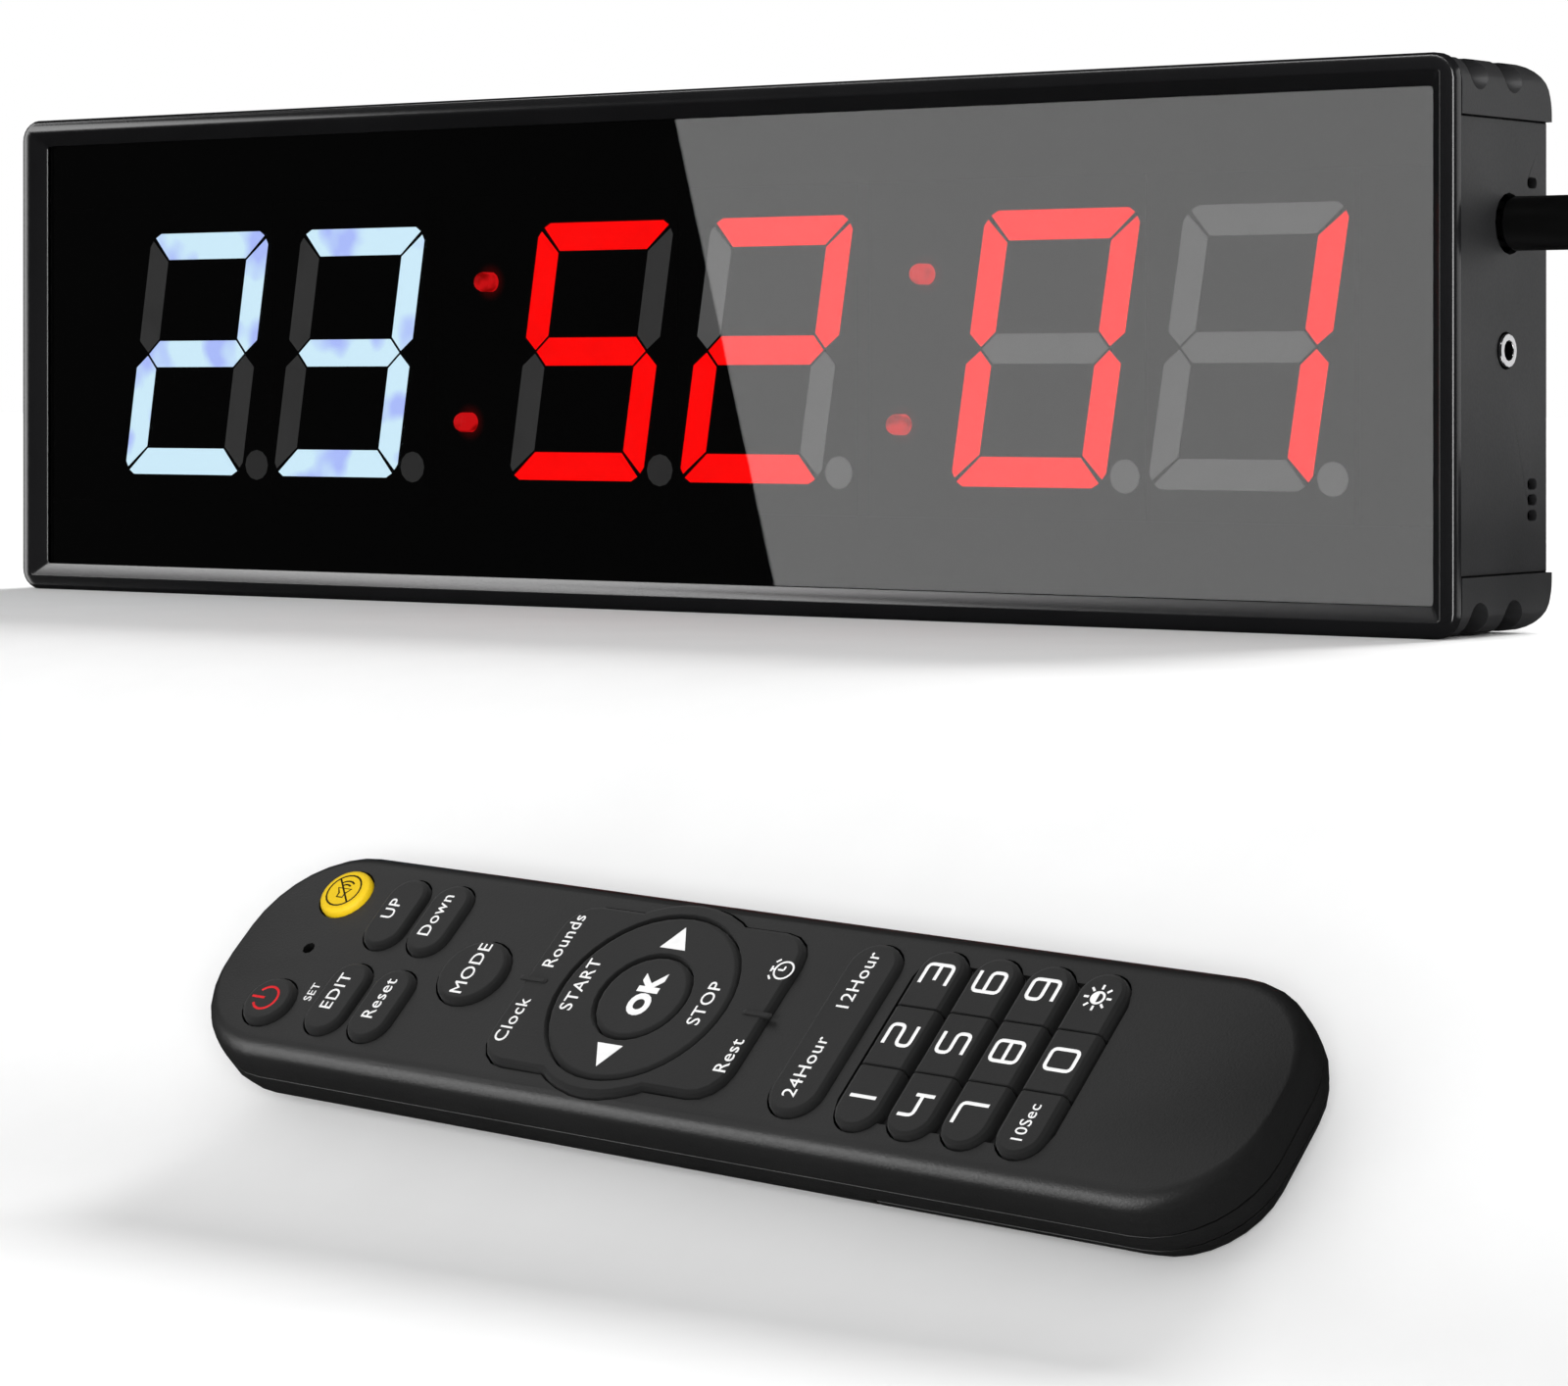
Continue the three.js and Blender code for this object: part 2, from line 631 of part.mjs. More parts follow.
// ---- The assembly ----
add(timer, "front_frame", frontFrame(), finish.frame);
add(timer, "front_lens", frontLens(), finish.lens);
add(timer, "top_rail", rail(), finish.casing);
add(timer, "bottom_rail", mirrored(rail(), 1, -1), finish.casing);
for (const [name, x, z] of [
  ["corner_top_right", 1, 1],
  ["corner_top_left", -1, 1],
  ["corner_bottom_right", 1, -1],
  ["corner_bottom_left", -1, -1],
]) {
  add(timer, name, mirrored(cornerBlock(), x, z), finish.casing);
}
add(timer, "right_end_plate", drilledEndPlate(), finish.casing);
add(timer, "left_end_plate", mirrored(endPlate(), -1, 1), finish.casing);
add(timer, "back_cover", backCover(), finish.casing);
add(timer, "display_board", displayBoard(), finish.board);
digitXs.forEach((x, i) => add(timer, `digit_${i + 1}`, digit(x), finish.digit));
for (const [side, left] of [["left", 1], ["right", 3]]) {
  const middle = (digitXs[left] + digitXs[left + 1]) / 2;
  for (const [level, up] of [["upper", 1], ["lower", -1]]) {
    const led = colonLed().translate(middle + up * 3, 0, up * 15.8);
    add(timer, `colon_led_${side}_${level}`, led, finish.redLed);
  }
}
add(timer, "power_socket", powerSocket(), finish.blackPlastic);
add(timer, "jack_socket", jackSocket(), finish.steel);
add(timer, "buzzer", buzzer(), finish.blackPlastic);
add(timer, "ir_receiver", irReceiver(), finish.blackPlastic);
add(timer, "power_plug", powerPlug(), finish.blackPlastic);
add(timer, "power_lead", leadTube(), finish.blackPlastic);
add(timer, "lead_coil", leadCoil(), finish.blackPlastic);
add(timer, "power_adapter", powerAdapter(), finish.blackPlastic);

add(remote, "remote_upper_shell", upperShell(), finish.shell);
add(remote, "remote_lower_shell", lowerShell(), finish.shell);
add(remote, "battery_cover", batteryCover(), finish.shell);
add(remote, "remote_board", remoteBoard(), finish.board);
add(remote, "remote_ir_led", remoteLed(), finish.blackPlastic);
[-5.5, 5.5].forEach((y, i) => add(remote, `battery_${i + 1}`, battery(y), finish.battery));
for (const [name, key] of Object.entries(KEYS)) {
  add(remote, name, keyCap(key), name === "mute_key" ? finish.yellow : finish.rubber);
}
add(remote, "function_pad", functionPad(), finish.rubber);
add(remote, "nav_ring", navRing(), finish.rubber);
for (let row = 0; row < NUMBERS.rows; row++) {
  for (const column of [-1, 0, 1]) {
    const place = row * 3 + column + 2;
    add(remote, `number_key_${place}`, numberKey(row, column), finish.rubber);
  }
}

export default timer;
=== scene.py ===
"""The gym round timer's looks: materials, lit digits, legends, screws and the power lead.

Lengths are in metres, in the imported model's own frame, where a comment says nothing else.
"""

import json
import math

import bmesh
import bpy
from mathutils import Matrix, Vector

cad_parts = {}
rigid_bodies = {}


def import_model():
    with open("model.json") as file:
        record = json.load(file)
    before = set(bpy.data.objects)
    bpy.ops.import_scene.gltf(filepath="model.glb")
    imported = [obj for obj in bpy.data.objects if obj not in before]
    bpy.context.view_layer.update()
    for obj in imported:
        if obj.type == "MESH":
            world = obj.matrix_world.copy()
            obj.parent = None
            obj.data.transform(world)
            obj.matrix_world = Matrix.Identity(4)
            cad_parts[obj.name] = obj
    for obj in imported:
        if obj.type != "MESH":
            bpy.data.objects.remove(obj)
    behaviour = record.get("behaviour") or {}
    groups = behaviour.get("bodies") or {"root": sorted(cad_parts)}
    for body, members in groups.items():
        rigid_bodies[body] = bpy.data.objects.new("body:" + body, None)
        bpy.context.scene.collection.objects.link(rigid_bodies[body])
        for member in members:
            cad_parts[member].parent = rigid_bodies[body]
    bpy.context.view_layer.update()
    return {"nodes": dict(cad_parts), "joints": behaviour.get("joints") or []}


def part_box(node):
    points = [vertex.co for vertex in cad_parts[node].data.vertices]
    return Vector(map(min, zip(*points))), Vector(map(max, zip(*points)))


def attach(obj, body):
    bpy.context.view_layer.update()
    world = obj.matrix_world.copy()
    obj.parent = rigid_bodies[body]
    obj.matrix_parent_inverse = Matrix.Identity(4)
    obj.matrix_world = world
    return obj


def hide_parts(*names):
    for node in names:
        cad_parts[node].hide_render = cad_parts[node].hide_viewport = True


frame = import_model()
MM = 0.001
nodes = frame["nodes"]
scene = bpy.context.scene
joints = {joint["name"]: joint for joint in frame["joints"]}

# ---- Places: from the frame, and two of the remote's own dimensions ----
display_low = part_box("front_frame")[0].z
lens_low, lens_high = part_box("front_lens")
LED_NAMES = [name for name in nodes if name.startswith("colon_led")]
RING_PIVOT = Vector((-15.6, 0, -2)) * MM  # the navigation ring's hinge, in the remote's own frame
REMOTE_UNDERSIDE = -18.6 * MM


def remote_matrix():
    """The remote's own frame: +X to its foot, +Z out of its keys, from its joints' axes."""
    x_axis = Vector(joints["battery_cover_slide"]["axis"])
    z_axis = Vector(joints["remote_lift"]["axis"])
    y_axis = z_axis.cross(x_axis)
    turn = Matrix((x_axis, y_axis, z_axis)).transposed().to_4x4()
    ring = Vector(joints["nav_ring_rock"]["pos_m"])
    return Matrix.Translation(ring) @ turn @ Matrix.Translation(-RING_PIVOT)


REMOTE = remote_matrix()


# ---- Camera ----
CAMERA_PLACE = (0.6073, -0.8182, -0.0083)
CAMERA_YAW = math.radians(36.36)
FOCAL_OVER_WIDTH = 2.8994
HORIZON_DROP = 0.1938  # the horizon lies this share of the picture's width above its middle


def make_camera():
    data = bpy.data.cameras.new("camera")
    data.sensor_width = 36
    data.lens = FOCAL_OVER_WIDTH * data.sensor_width
    data.shift_y = -HORIZON_DROP
    data.clip_start = 0.01
    camera = bpy.data.objects.new("camera", data)
    camera.location = CAMERA_PLACE
    camera.rotation_euler = (math.pi / 2, 0, CAMERA_YAW)
    scene.collection.objects.link(camera)
    scene.camera = camera


make_camera()
scene.view_settings.view_transform = "Standard"


# ---- Mesh helpers ----
def new_object(name, mesh, material):
    made = bpy.data.objects.new(name, mesh)
    scene.collection.objects.link(made)
    mesh.materials.append(material)
    return made


def mesh_of(name, verts, faces, material, smooth=False):
    mesh = bpy.data.meshes.new(name)
    mesh.from_pydata([tuple(v) for v in verts], [], faces)
    mesh.update()
    if smooth:
        mesh.shade_smooth()
    return new_object(name, mesh, material)


def rounded(width, height, radius, steps=8):
    """A rectangle's outline with round corners, counter-clockwise round (0, 0)."""
    radius = min(radius, width / 2, height / 2)
    points = []
    for quarter, (sx, sy) in enumerate(((1, 1), (-1, 1), (-1, -1), (1, -1))):
        for i in range(steps + 1):
            angle = (quarter + i / steps) * math.pi / 2
            x = sx * (width / 2 - radius) + radius * math.cos(angle)
            y = sy * (height / 2 - radius) + radius * math.sin(angle)
            if not points or math.hypot(x - points[-1][0], y - points[-1][1]) > 1e-9:
                points.append((x, y))
    if math.hypot(points[0][0] - points[-1][0], points[0][1] - points[-1][1]) < 1e-9:
        points.pop()
    return points


def prism(name, outline, rings, material, place):
    """A closed solid from a 2-D outline at each (height, scale) of rings, carried by place."""
    count = len(outline)
    verts = [place @ Vector((x * s, y * s, z)) for z, s in rings for x, y in outline]
    faces = [tuple(reversed(range(count)))]
    for ring in range(len(rings) - 1):
        for i in range(count):
            j = (i + 1) % count
            a, b = ring * count + i, ring * count + j
            faces.append((a, b, b + count, a + count))
    top = (len(rings) - 1) * count
    faces.append(tuple(range(top, top + count)))
    return mesh_of(name, verts, faces, material)


def carved(piece, cutter):
    """Takes the cutter's shape out of the piece, and keeps the result as plain mesh."""
    cut = piece.modifiers.new("cut", "BOOLEAN")
    cut.object = cutter
    cut.operation = "DIFFERENCE"
    cut.solver = "EXACT"
    bpy.context.view_layer.update()
    shape = piece.evaluated_get(bpy.context.evaluated_depsgraph_get())
    mesh = bpy.data.meshes.new_from_object(shape)
    piece.modifiers.clear()
    piece.data = mesh
    bpy.data.objects.remove(cutter)
    return piece


def fillet(a, b, c, cut, steps):
    """Points that round the corner at b between a and c, each side by at most half its length."""
    before = b + (a - b).normalized() * min(cut, (a - b).length / 2)
    after = b + (c - b).normalized() * min(cut, (c - b).length / 2)
    ts = [i / steps for i in range(steps + 1)]
    return [before * (1 - t) ** 2 + b * 2 * t * (1 - t) + after * t**2 for t in ts]


def settle(piece, body):
    """Rides the piece on a body."""
    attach(piece, body)


# ---- Materials ----
def surface(name, color, roughness, metallic=0.0, **look):
    """A procedural finish: base colour mottled by a soft noise, grain in roughness, fine bump.

    look: mottle (share of colour change), mottle_size and grain_size in metres, bump (metres),
    bump_strength, grain (roughness change), specular, sheen.
    """
    material = bpy.data.materials.new(name)
    material.use_nodes = True
    tree = material.node_tree
    bsdf = tree.nodes["Principled BSDF"]
    bsdf.inputs["Metallic"].default_value = metallic
    bsdf.inputs["Specular IOR Level"].default_value = look.get("specular", 0.5)
    bsdf.inputs["Sheen Weight"].default_value = look.get("sheen", 0.0)
    coords = tree.nodes.new("ShaderNodeTexCoord")

    def noise(size, detail):
        node = tree.nodes.new("ShaderNodeTexNoise")
        node.inputs["Scale"].default_value = 1 / size
        node.inputs["Detail"].default_value = detail
        tree.links.new(coords.outputs["Object"], node.inputs["Vector"])
        return node

    mottle = look.get("mottle", 0.12)
    ramp = tree.nodes.new("ShaderNodeValToRGB")
    ramp.color_ramp.elements[0].position = 0.3
    ramp.color_ramp.elements[1].position = 0.7
    ramp.color_ramp.elements[0].color = [c * (1 - mottle) for c in color] + [1]
    ramp.color_ramp.elements[1].color = [min(1, c * (1 + mottle)) for c in color] + [1]
    tree.links.new(noise(look.get("mottle_size", 0.02), 3).outputs["Fac"], ramp.inputs["Fac"])
    tree.links.new(ramp.outputs["Color"], bsdf.inputs["Base Color"])

    grain = noise(look.get("grain_size", 0.0006), 2)
    spread = tree.nodes.new("ShaderNodeMapRange")
    change = look.get("grain", 0.08)
    spread.inputs["To Min"].default_value = max(0.0, roughness - change)
    spread.inputs["To Max"].default_value = min(1.0, roughness + change)
    tree.links.new(grain.outputs["Fac"], spread.inputs["Value"])
    tree.links.new(spread.outputs["Result"], bsdf.inputs["Roughness"])

    bump = tree.nodes.new("ShaderNodeBump")
    bump.inputs["Distance"].default_value = look.get("bump", 0.00004)
    bump.inputs["Strength"].default_value = look.get("bump_strength", 0.5)
    tree.links.new(grain.outputs["Fac"], bump.inputs["Height"])
    tree.links.new(bump.outputs["Normal"], bsdf.inputs["Normal"])
    return material


def glowing(name, colors, strength, size):
    """A diffusing plastic that glows, its glow shifting between two colours in soft patches. On unlit
    bars the glow is painted light.
    """
    material = surface(name, (0.01, 0.01, 0.01), 0.6, specular=0.1)
    tree = material.node_tree
    bsdf = tree.nodes["Principled BSDF"]
    coords = tree.nodes["Texture Coordinate"]
    patches = tree.nodes.new("ShaderNodeTexNoise")
    patches.inputs["Scale"].default_value = 1 / size
    patches.inputs["Detail"].default_value = 1.5
    tree.links.new(coords.outputs["Object"], patches.inputs["Vector"])
    ramp = tree.nodes.new("ShaderNodeValToRGB")
    ramp.color_ramp.elements[0].position = 0.36
    ramp.color_ramp.elements[1].position = 0.5
    ramp.color_ramp.elements[0].color = (*colors[1], 1)
    ramp.color_ramp.elements[1].color = (*colors[0], 1)
    tree.links.new(patches.outputs["Fac"], ramp.inputs["Fac"])
    tree.links.new(ramp.outputs["Color"], bsdf.inputs["Emission Color"])
    bsdf.inputs["Emission Strength"].default_value = strength
    return material


def lens_material():
    """Smoked acrylic: clear to what glows behind it, with a polished face."""
    material = bpy.data.materials.new("smoked_lens")
    material.use_nodes = True
    tree = material.node_tree
    bsdf = tree.nodes["Principled BSDF"]
    bsdf.inputs["Base Color"].default_value = (0.93, 0.93, 0.93, 1)
    bsdf.inputs["Transmission Weight"].default_value = 1
    bsdf.inputs["IOR"].default_value = 1.49
    noise = tree.nodes.new("ShaderNodeTexNoise")
    noise.inputs["Scale"].default_value = 60
    spread = tree.nodes.new("ShaderNodeMapRange")
    spread.inputs["To Min"].default_value = 0.0
    spread.inputs["To Max"].default_value = 0.012
    tree.links.new(noise.outputs["Fac"], spread.inputs["Value"])
    tree.links.new(spread.outputs["Result"], bsdf.inputs["Roughness"])
    return material


frame_paint = surface(
    "frame_paint", (0.005, 0.005, 0.0054), 0.2, mottle=0.1, grain_size=0.0003, bump=0.00001,
)
casing_paint = surface("casing_paint", (0.044, 0.044, 0.046), 0.5, 0.2, bump=0.00005, grain_size=0.0005)
digit_black = surface(
    "digit_black", (0.0006, 0.0006, 0.0006), 0.8, specular=0.0, mottle=0.3, bump=0.0,
)
board_green = surface("board_green", (0.012, 0.07, 0.025), 0.4, mottle=0.25, mottle_size=0.004)
board_black = surface("board_black", (0.0006, 0.0006, 0.0006), 0.8, specular=0.0, mottle=0.3)
led_red = glowing("led_red", ((0.7, 0.005, 0.007), (0.3, 0.0, 0.0)), 0.9, 0.004)
lit_red = glowing("lit_red", ((1.0, 0.0, 0.0), (0.96, 0.0, 0.0)), 1.15, 0.01)
lit_white = glowing("lit_white", ((0.64, 0.87, 1.0), (0.42, 0.52, 1.0)), 1.12, 0.011)
# Unlit bars and dots: a faint grey glow, painted light though they are off; the dots glow a little
# darker.
unlit = glowing("unlit_segment_painted_glow", ((0.034, 0.034, 0.034), (0.031, 0.031, 0.031)), 1.05, 0.01)
# Unlit bars under the lens's glare: the glare's reflection painted into a brighter glow.
unlit_painted_glare = glowing(
    "unlit_painted_glare", ((0.09, 0.09, 0.09), (0.086, 0.086, 0.086)), 1.0, 0.01
)
unlit_dot_painted_glow = glowing("unlit_dot_painted_glow", ((0.026, 0.026, 0.026), (0.024, 0.024, 0.024)), 1.0, 0.01)
black_plastic = surface("black_plastic", (0.004, 0.004, 0.004), 0.42, grain_size=0.0004)
lead_jacket = surface("lead_jacket", (0.007, 0.007, 0.007), 0.38, grain_size=0.001, grain=0.12)
bright_steel = surface("bright_steel", (0.62, 0.62, 0.63), 0.22, 1.0, mottle=0.05, bump=0.00001)
shell_black = surface(
    "remote_shell", (0.014, 0.014, 0.014), 0.42, grain_size=0.00035, bump=0.00005,
    bump_strength=0.6, mottle=0.08, specular=0.42,
)
key_rubber = surface(
    "key_rubber", (0.026, 0.026, 0.026), 0.62, grain_size=0.0003, bump=0.00004, sheen=0.15,
    mottle=0.06, specular=0.35,
)
key_yellow = surface("key_yellow", (0.80, 0.53, 0.0), 0.6, grain_size=0.0003, mottle=0.06)
legend_white = surface("legend_white", (0.9, 0.9, 0.9), 0.6, mottle=0.04, mottle_size=0.001)
legend_red = surface("legend_red", (0.72, 0.008, 0.015), 0.6, mottle=0.1, mottle_size=0.001)
legend_black = surface("legend_black", (0.03, 0.02, 0.0), 0.6, mottle=0.1, mottle_size=0.001)
battery_foil = surface("battery_foil", (0.30, 0.17, 0.05), 0.3, 0.8, mottle=0.3, mottle_size=0.006)

FINISHES = {
    frame_paint: ["front_frame"],
    casing_paint: [
        "top_rail", "bottom_rail", "corner_top_right", "corner_top_left", "corner_bottom_right",
        "corner_bottom_left", "right_end_plate", "left_end_plate", "back_cover",
    ],
    digit_black: [f"digit_{i}" for i in range(1, 7)],
    board_black: ["display_board"],
    board_green: ["remote_board"],
    led_red: LED_NAMES,
    black_plastic: [
        "power_socket", "buzzer", "ir_receiver", "power_plug", "power_adapter", "remote_ir_led",
    ],
    bright_steel: ["jack_socket"],
    shell_black: ["remote_upper_shell", "remote_lower_shell", "battery_cover"],
    key_yellow: ["mute_key"],
    battery_foil: ["battery_1", "battery_2"],
    key_rubber: [
        "power_key", "edit_key", "up_key", "reset_key", "down_key", "round_key", "ok_key",
        "function_pad", "nav_ring", "hour_rocker", *[f"number_key_{i}" for i in range(1, 13)],
    ],
    lens_material(): ["front_lens"],
}
# Edge rounding in metres that the bare solids lack, by node.
EDGES = {"front_frame": 0.0003, "power_adapter": 0.0006}
PLAIN_EDGE = 0.00022
BEVEL_ABOVE = math.radians(32)


def dress(node, material):
    """Gives a CAD node its finish and rounds its sharp edges a little."""
    node.data.materials.clear()
    node.data.materials.append(material)
    if node.name == "front_lens" or node.name.startswith("digit"):
        return
    for flat_mark in ("custom_normal", "sharp_edge", "sharp_face"):
        if flat_mark in node.data.attributes:
            node.data.attributes.remove(node.data.attributes[flat_mark])
    weld = node.modifiers.new("weld", "WELD")
    weld.merge_threshold = 1e-6
    bevel = node.modifiers.new("edge rounding", "BEVEL")
    bevel.width = EDGES.get(node.name, PLAIN_EDGE)
    bevel.segments = 2
    bevel.limit_method = "ANGLE"
    bevel.angle_limit = BEVEL_ABOVE
    bevel.use_clamp_overlap = True
    bevel.harden_normals = True
    node.data.shade_smooth()


for finish, names in FINISHES.items():
    for name in names:
        dress(nodes[name], finish)


# ---- The power lead: the CAD source's route in mm and one more point at each end, then a coil ----
LEAD_RADIUS = 1.8 * MM
LEAD_ROUTE = [
    (218, -16.5, 24.1), (226.4, -16.5, 24.1), (233, -16.5, 23.6), (241, -16.5, 20.8),
    (247.5, -16.5, 15.2), (252, -16.5, 7.5), (255, -16.5, -2), (257.3, -16.5, -13),
    (259.5, -16.5, -24), (263, -16.5, -35), (269, -16.3, -44.5), (277, -15.3, -51.2),
    (285, -14.2, -54.2), (292.4, -13.4, -54.7), (302, -13.4, -54.7),
]
COIL_START_RADIUS = 32.4 * MM
COIL_TURNS_BELOW = 3
COIL_TURNS_ABOVE = 3.5
CLIMB_TURNS = 0.5  # the share of a turn in which the lead climbs from one layer to the other
POINTS_PER_TURN = 40
ADAPTER_OUTLET_Z = -50 * MM
LENGTH_IN_ADAPTER = 4 * MM


def smooth_route(points, steps=8):
    """Catmull-Rom through the points, with steps between each pair."""
    ends = [points[0] * 2 - points[1], *points, points[-1] * 2 - points[-2]]
    made = []
    for a, b, c, d in zip(ends, ends[1:], ends[2:], ends[3:]):
        for i in range(steps):
            t = i / steps
            made.append(
                0.5 * (2 * b + (c - a) * t + (2 * a - 5 * b + 4 * c - d) * t**2
                       + (3 * b - a - 3 * c + d) * t**3)
            )
    return made + [points[-1]]


def coil_points():
    """Turns that wind in on the surface, climb one thickness and wind out again on top."""
    low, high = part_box("lead_coil")
    centre = (low + high) / 2
    outer = (high.x - low.x) / 2 - LEAD_RADIUS
    pitch = 2 * LEAD_RADIUS
    inner = COIL_START_RADIUS - COIL_TURNS_BELOW * pitch
    points = []
    total = COIL_TURNS_BELOW + COIL_TURNS_ABOVE
    for i in range(int(total * POINTS_PER_TURN) + 1):
        turn = i / POINTS_PER_TURN
        angle = 2 * math.pi * turn - math.pi / 2
        if turn <= COIL_TURNS_BELOW:
            radius = COIL_START_RADIUS - pitch * turn
        else:
            radius = min(outer, inner + pitch * (turn - COIL_TURNS_BELOW))
        climb = min(1, max(0, (turn - COIL_TURNS_BELOW) / CLIMB_TURNS + 0.5))
        z = low.z + LEAD_RADIUS + pitch * climb * climb * (3 - 2 * climb)
        points.append(
            Vector((centre.x + radius * math.cos(angle), centre.y + radius * math.sin(angle), z))
        )
    return points


def make_lead():
    route = smooth_route([Vector(p) * MM for p in LEAD_ROUTE])
    adapter_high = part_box("power_adapter")[1]
    coil = coil_points()
    last = coil[-1]
    tail_end = Vector((adapter_high.x - LENGTH_IN_ADAPTER, last.y, ADAPTER_OUTLET_Z))
    tail = [last + Vector((-5 * MM, 0, 0)), last.lerp(tail_end, 0.6), tail_end]
    points = route + coil + tail
    curve = bpy.data.curves.new("lead", "CURVE")
    curve.dimensions = "3D"
    curve.bevel_depth = LEAD_RADIUS
    curve.bevel_resolution = 4
    curve.use_fill_caps = True
    spline = curve.splines.new("POLY")
    spline.points.add(len(points) - 1)
    for slot, point in zip(spline.points, points):
        slot.co = (*point, 1)
    curve.materials.append(lead_jacket)
    lead = bpy.data.objects.new("lead", curve)
    scene.collection.objects.link(lead)
    settle(lead, "plug")
    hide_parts("power_lead", "lead_coil")


make_lead()


# ---- Digits: a thin lit or unlit bar over each bar of the CAD ----
BAR_LIFT = 0.05 * MM
BAR_THICK = 0.15 * MM
FIRST_PAINTED_GLARE = 4  # from this digit on, the lens's glare is painted into the unlit bars as a brighter glow
SHOWN = [("2", "white"), ("3", "white"), ("5", "red"), ("2", "red"), ("0", "red"), ("1", "red")]
LIT_BARS = {
    "0": "top upper_left upper_right lower_left lower_right bottom",
    "1": "upper_right lower_right",
    "2": "top upper_right middle lower_left bottom",
    "3": "top upper_right middle lower_right bottom",
    "5": "top upper_left middle lower_right bottom",
}
SLANT = math.tan(math.radians(9))
LEVEL_BARS_WITHIN = 6 * MM  # of a digit's upright middle line
MIDDLE_BAR_WITHIN = 14.25 * MM  # of a digit's level middle line


def bar_islands(node):
    """The outlines of the raised bars on a digit's face, as lists of (x, z)."""
    front = min(v.co.y for v in node.data.vertices)
    work = bmesh.new()
    work.from_mesh(node.data)
    hidden = [f for f in work.faces if max(v.co.y for v in f.verts) > front + 1e-5]
    bmesh.ops.delete(work, geom=hidden, context="FACES")
    bmesh.ops.remove_doubles(work, verts=work.verts, dist=1e-6)
    left = [e for e in work.edges if len(e.link_faces) == 1]
    outlines = []
    while left:
        edge = left.pop()
        start, at = edge.verts
        outline = [start.co.copy(), at.co.copy()]
        while True:
            onward = [e for e in at.link_edges if e in left]
            if not onward:
                break
            left.remove(onward[0])
            at = onward[0].other_vert(at)
            if at == start:
                break
            outline.append(at.co.copy())
        outlines.append([(p.x, p.z) for p in outline])
    work.free()
    return front, outlines


def bar_name(x, z):
    """Which bar of a digit lies at (x, z) from its centre, with the slant taken out."""
    if abs(x) < LEVEL_BARS_WITHIN:
        if abs(z) < MIDDLE_BAR_WITHIN:
            return "middle"
        return "top" if z > 0 else "bottom"
    return ("upper_" if z > 0 else "lower_") + ("right" if x > 0 else "left")


def make_bars(number, shown, hue):
    """One digit's bars, lit where they show its figure. Its round dot has the most corners."""
    node = nodes[f"digit_{number}"]
    front, outlines = bar_islands(node)
    dot = max(outlines, key=len)
    low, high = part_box(node.name)
    centre_x = (low.x + high.x) / 2
    for outline in outlines:
        x = sum(p[0] for p in outline) / len(outline)
        z = sum(p[1] for p in outline) / len(outline)
        if outline is dot:
            name = "dot"
        else:
            name = bar_name(x - centre_x - z * SLANT, z)
        lit = name in LIT_BARS[shown].split()
        # Unlit bars glow a painted grey; under the lens's glare, a brighter grey with the glare painted
        # in.
        if lit:
            finish = {"white": lit_white, "red": lit_red}[hue]
        elif number >= FIRST_PAINTED_GLARE:
            finish = unlit_painted_glare
        else:
            finish = unlit_dot_painted_glow if name == "dot" else unlit
        area = sum(a[0] * b[1] - b[0] * a[1] for a, b in zip(outline, outline[1:] + outline[:1]))
        if area < 0:
            outline.reverse()
        count = len(outline)
        back = front - BAR_LIFT
        verts = [(px, y, pz) for y in (back, back - BAR_THICK) for px, pz in outline]
        faces = [tuple(reversed(range(count))), tuple(range(count, 2 * count))]
        for i in range(count):
            j = (i + 1) % count
            faces.append((i, j, j + count, i + count))
        bar = mesh_of(f"digit_{number}_{name}", verts, faces, finish)
        settle(bar, "display")


for number, (shown, hue) in enumerate(SHOWN, start=1):
    make_bars(number, shown, hue)


# ---- Black plates behind the lens, and each colon LED's glow on the plate round it ----
GLOW_RADIUS = 5 * MM
GLOW_THICK = 0.05 * MM
GLOW_STRENGTH = 0.03
MASK_Y = -34 * MM
LED_MASK_Y = -31.6 * MM  # further back, so that the LEDs stand out of it
MASK_THICK = 1 * MM
MASK_CLEAR = 0.2 * MM
LEAST_MASK_WIDTH = 2 * MM
HOLE_CLEAR = 0.1 * MM
FACE_FORWARD = Matrix.Rotation(math.pi / 2, 4, "X")


def glow_material():
    """Red light that fades from the middle of a disc to nothing at its rim."""
    material = bpy.data.materials.new("led_glow")
    material.use_nodes = True
    tree = material.node_tree
    tree.nodes.remove(tree.nodes["Principled BSDF"])
    coords = tree.nodes.new("ShaderNodeTexCoord")
    away = tree.nodes.new("ShaderNodeVectorMath")
    away.operation = "LENGTH"
    fade = tree.nodes.new("ShaderNodeMapRange")
    fade.interpolation_type = "SMOOTHERSTEP"
    fade.inputs["From Min"].default_value = 0.0
    fade.inputs["From Max"].default_value = GLOW_RADIUS
    fade.inputs["To Min"].default_value = GLOW_STRENGTH
    fade.inputs["To Max"].default_value = 0.0
    glow = tree.nodes.new("ShaderNodeEmission")
    glow.inputs["Color"].default_value = (1, 0.0, 0.0, 1)
    clear = tree.nodes.new("ShaderNodeBsdfTransparent")
    both = tree.nodes.new("ShaderNodeAddShader")
    tree.links.new(coords.outputs["Object"], away.inputs[0])
    tree.links.new(away.outputs["Value"], fade.inputs["Value"])
    tree.links.new(fade.outputs["Result"], glow.inputs["Strength"])
    tree.links.new(glow.outputs["Emission"], both.inputs[0])
    tree.links.new(clear.outputs["BSDF"], both.inputs[1])
    output = tree.nodes["Material Output"]
    tree.links.new(both.outputs["Shader"], output.inputs["Surface"])
    return material


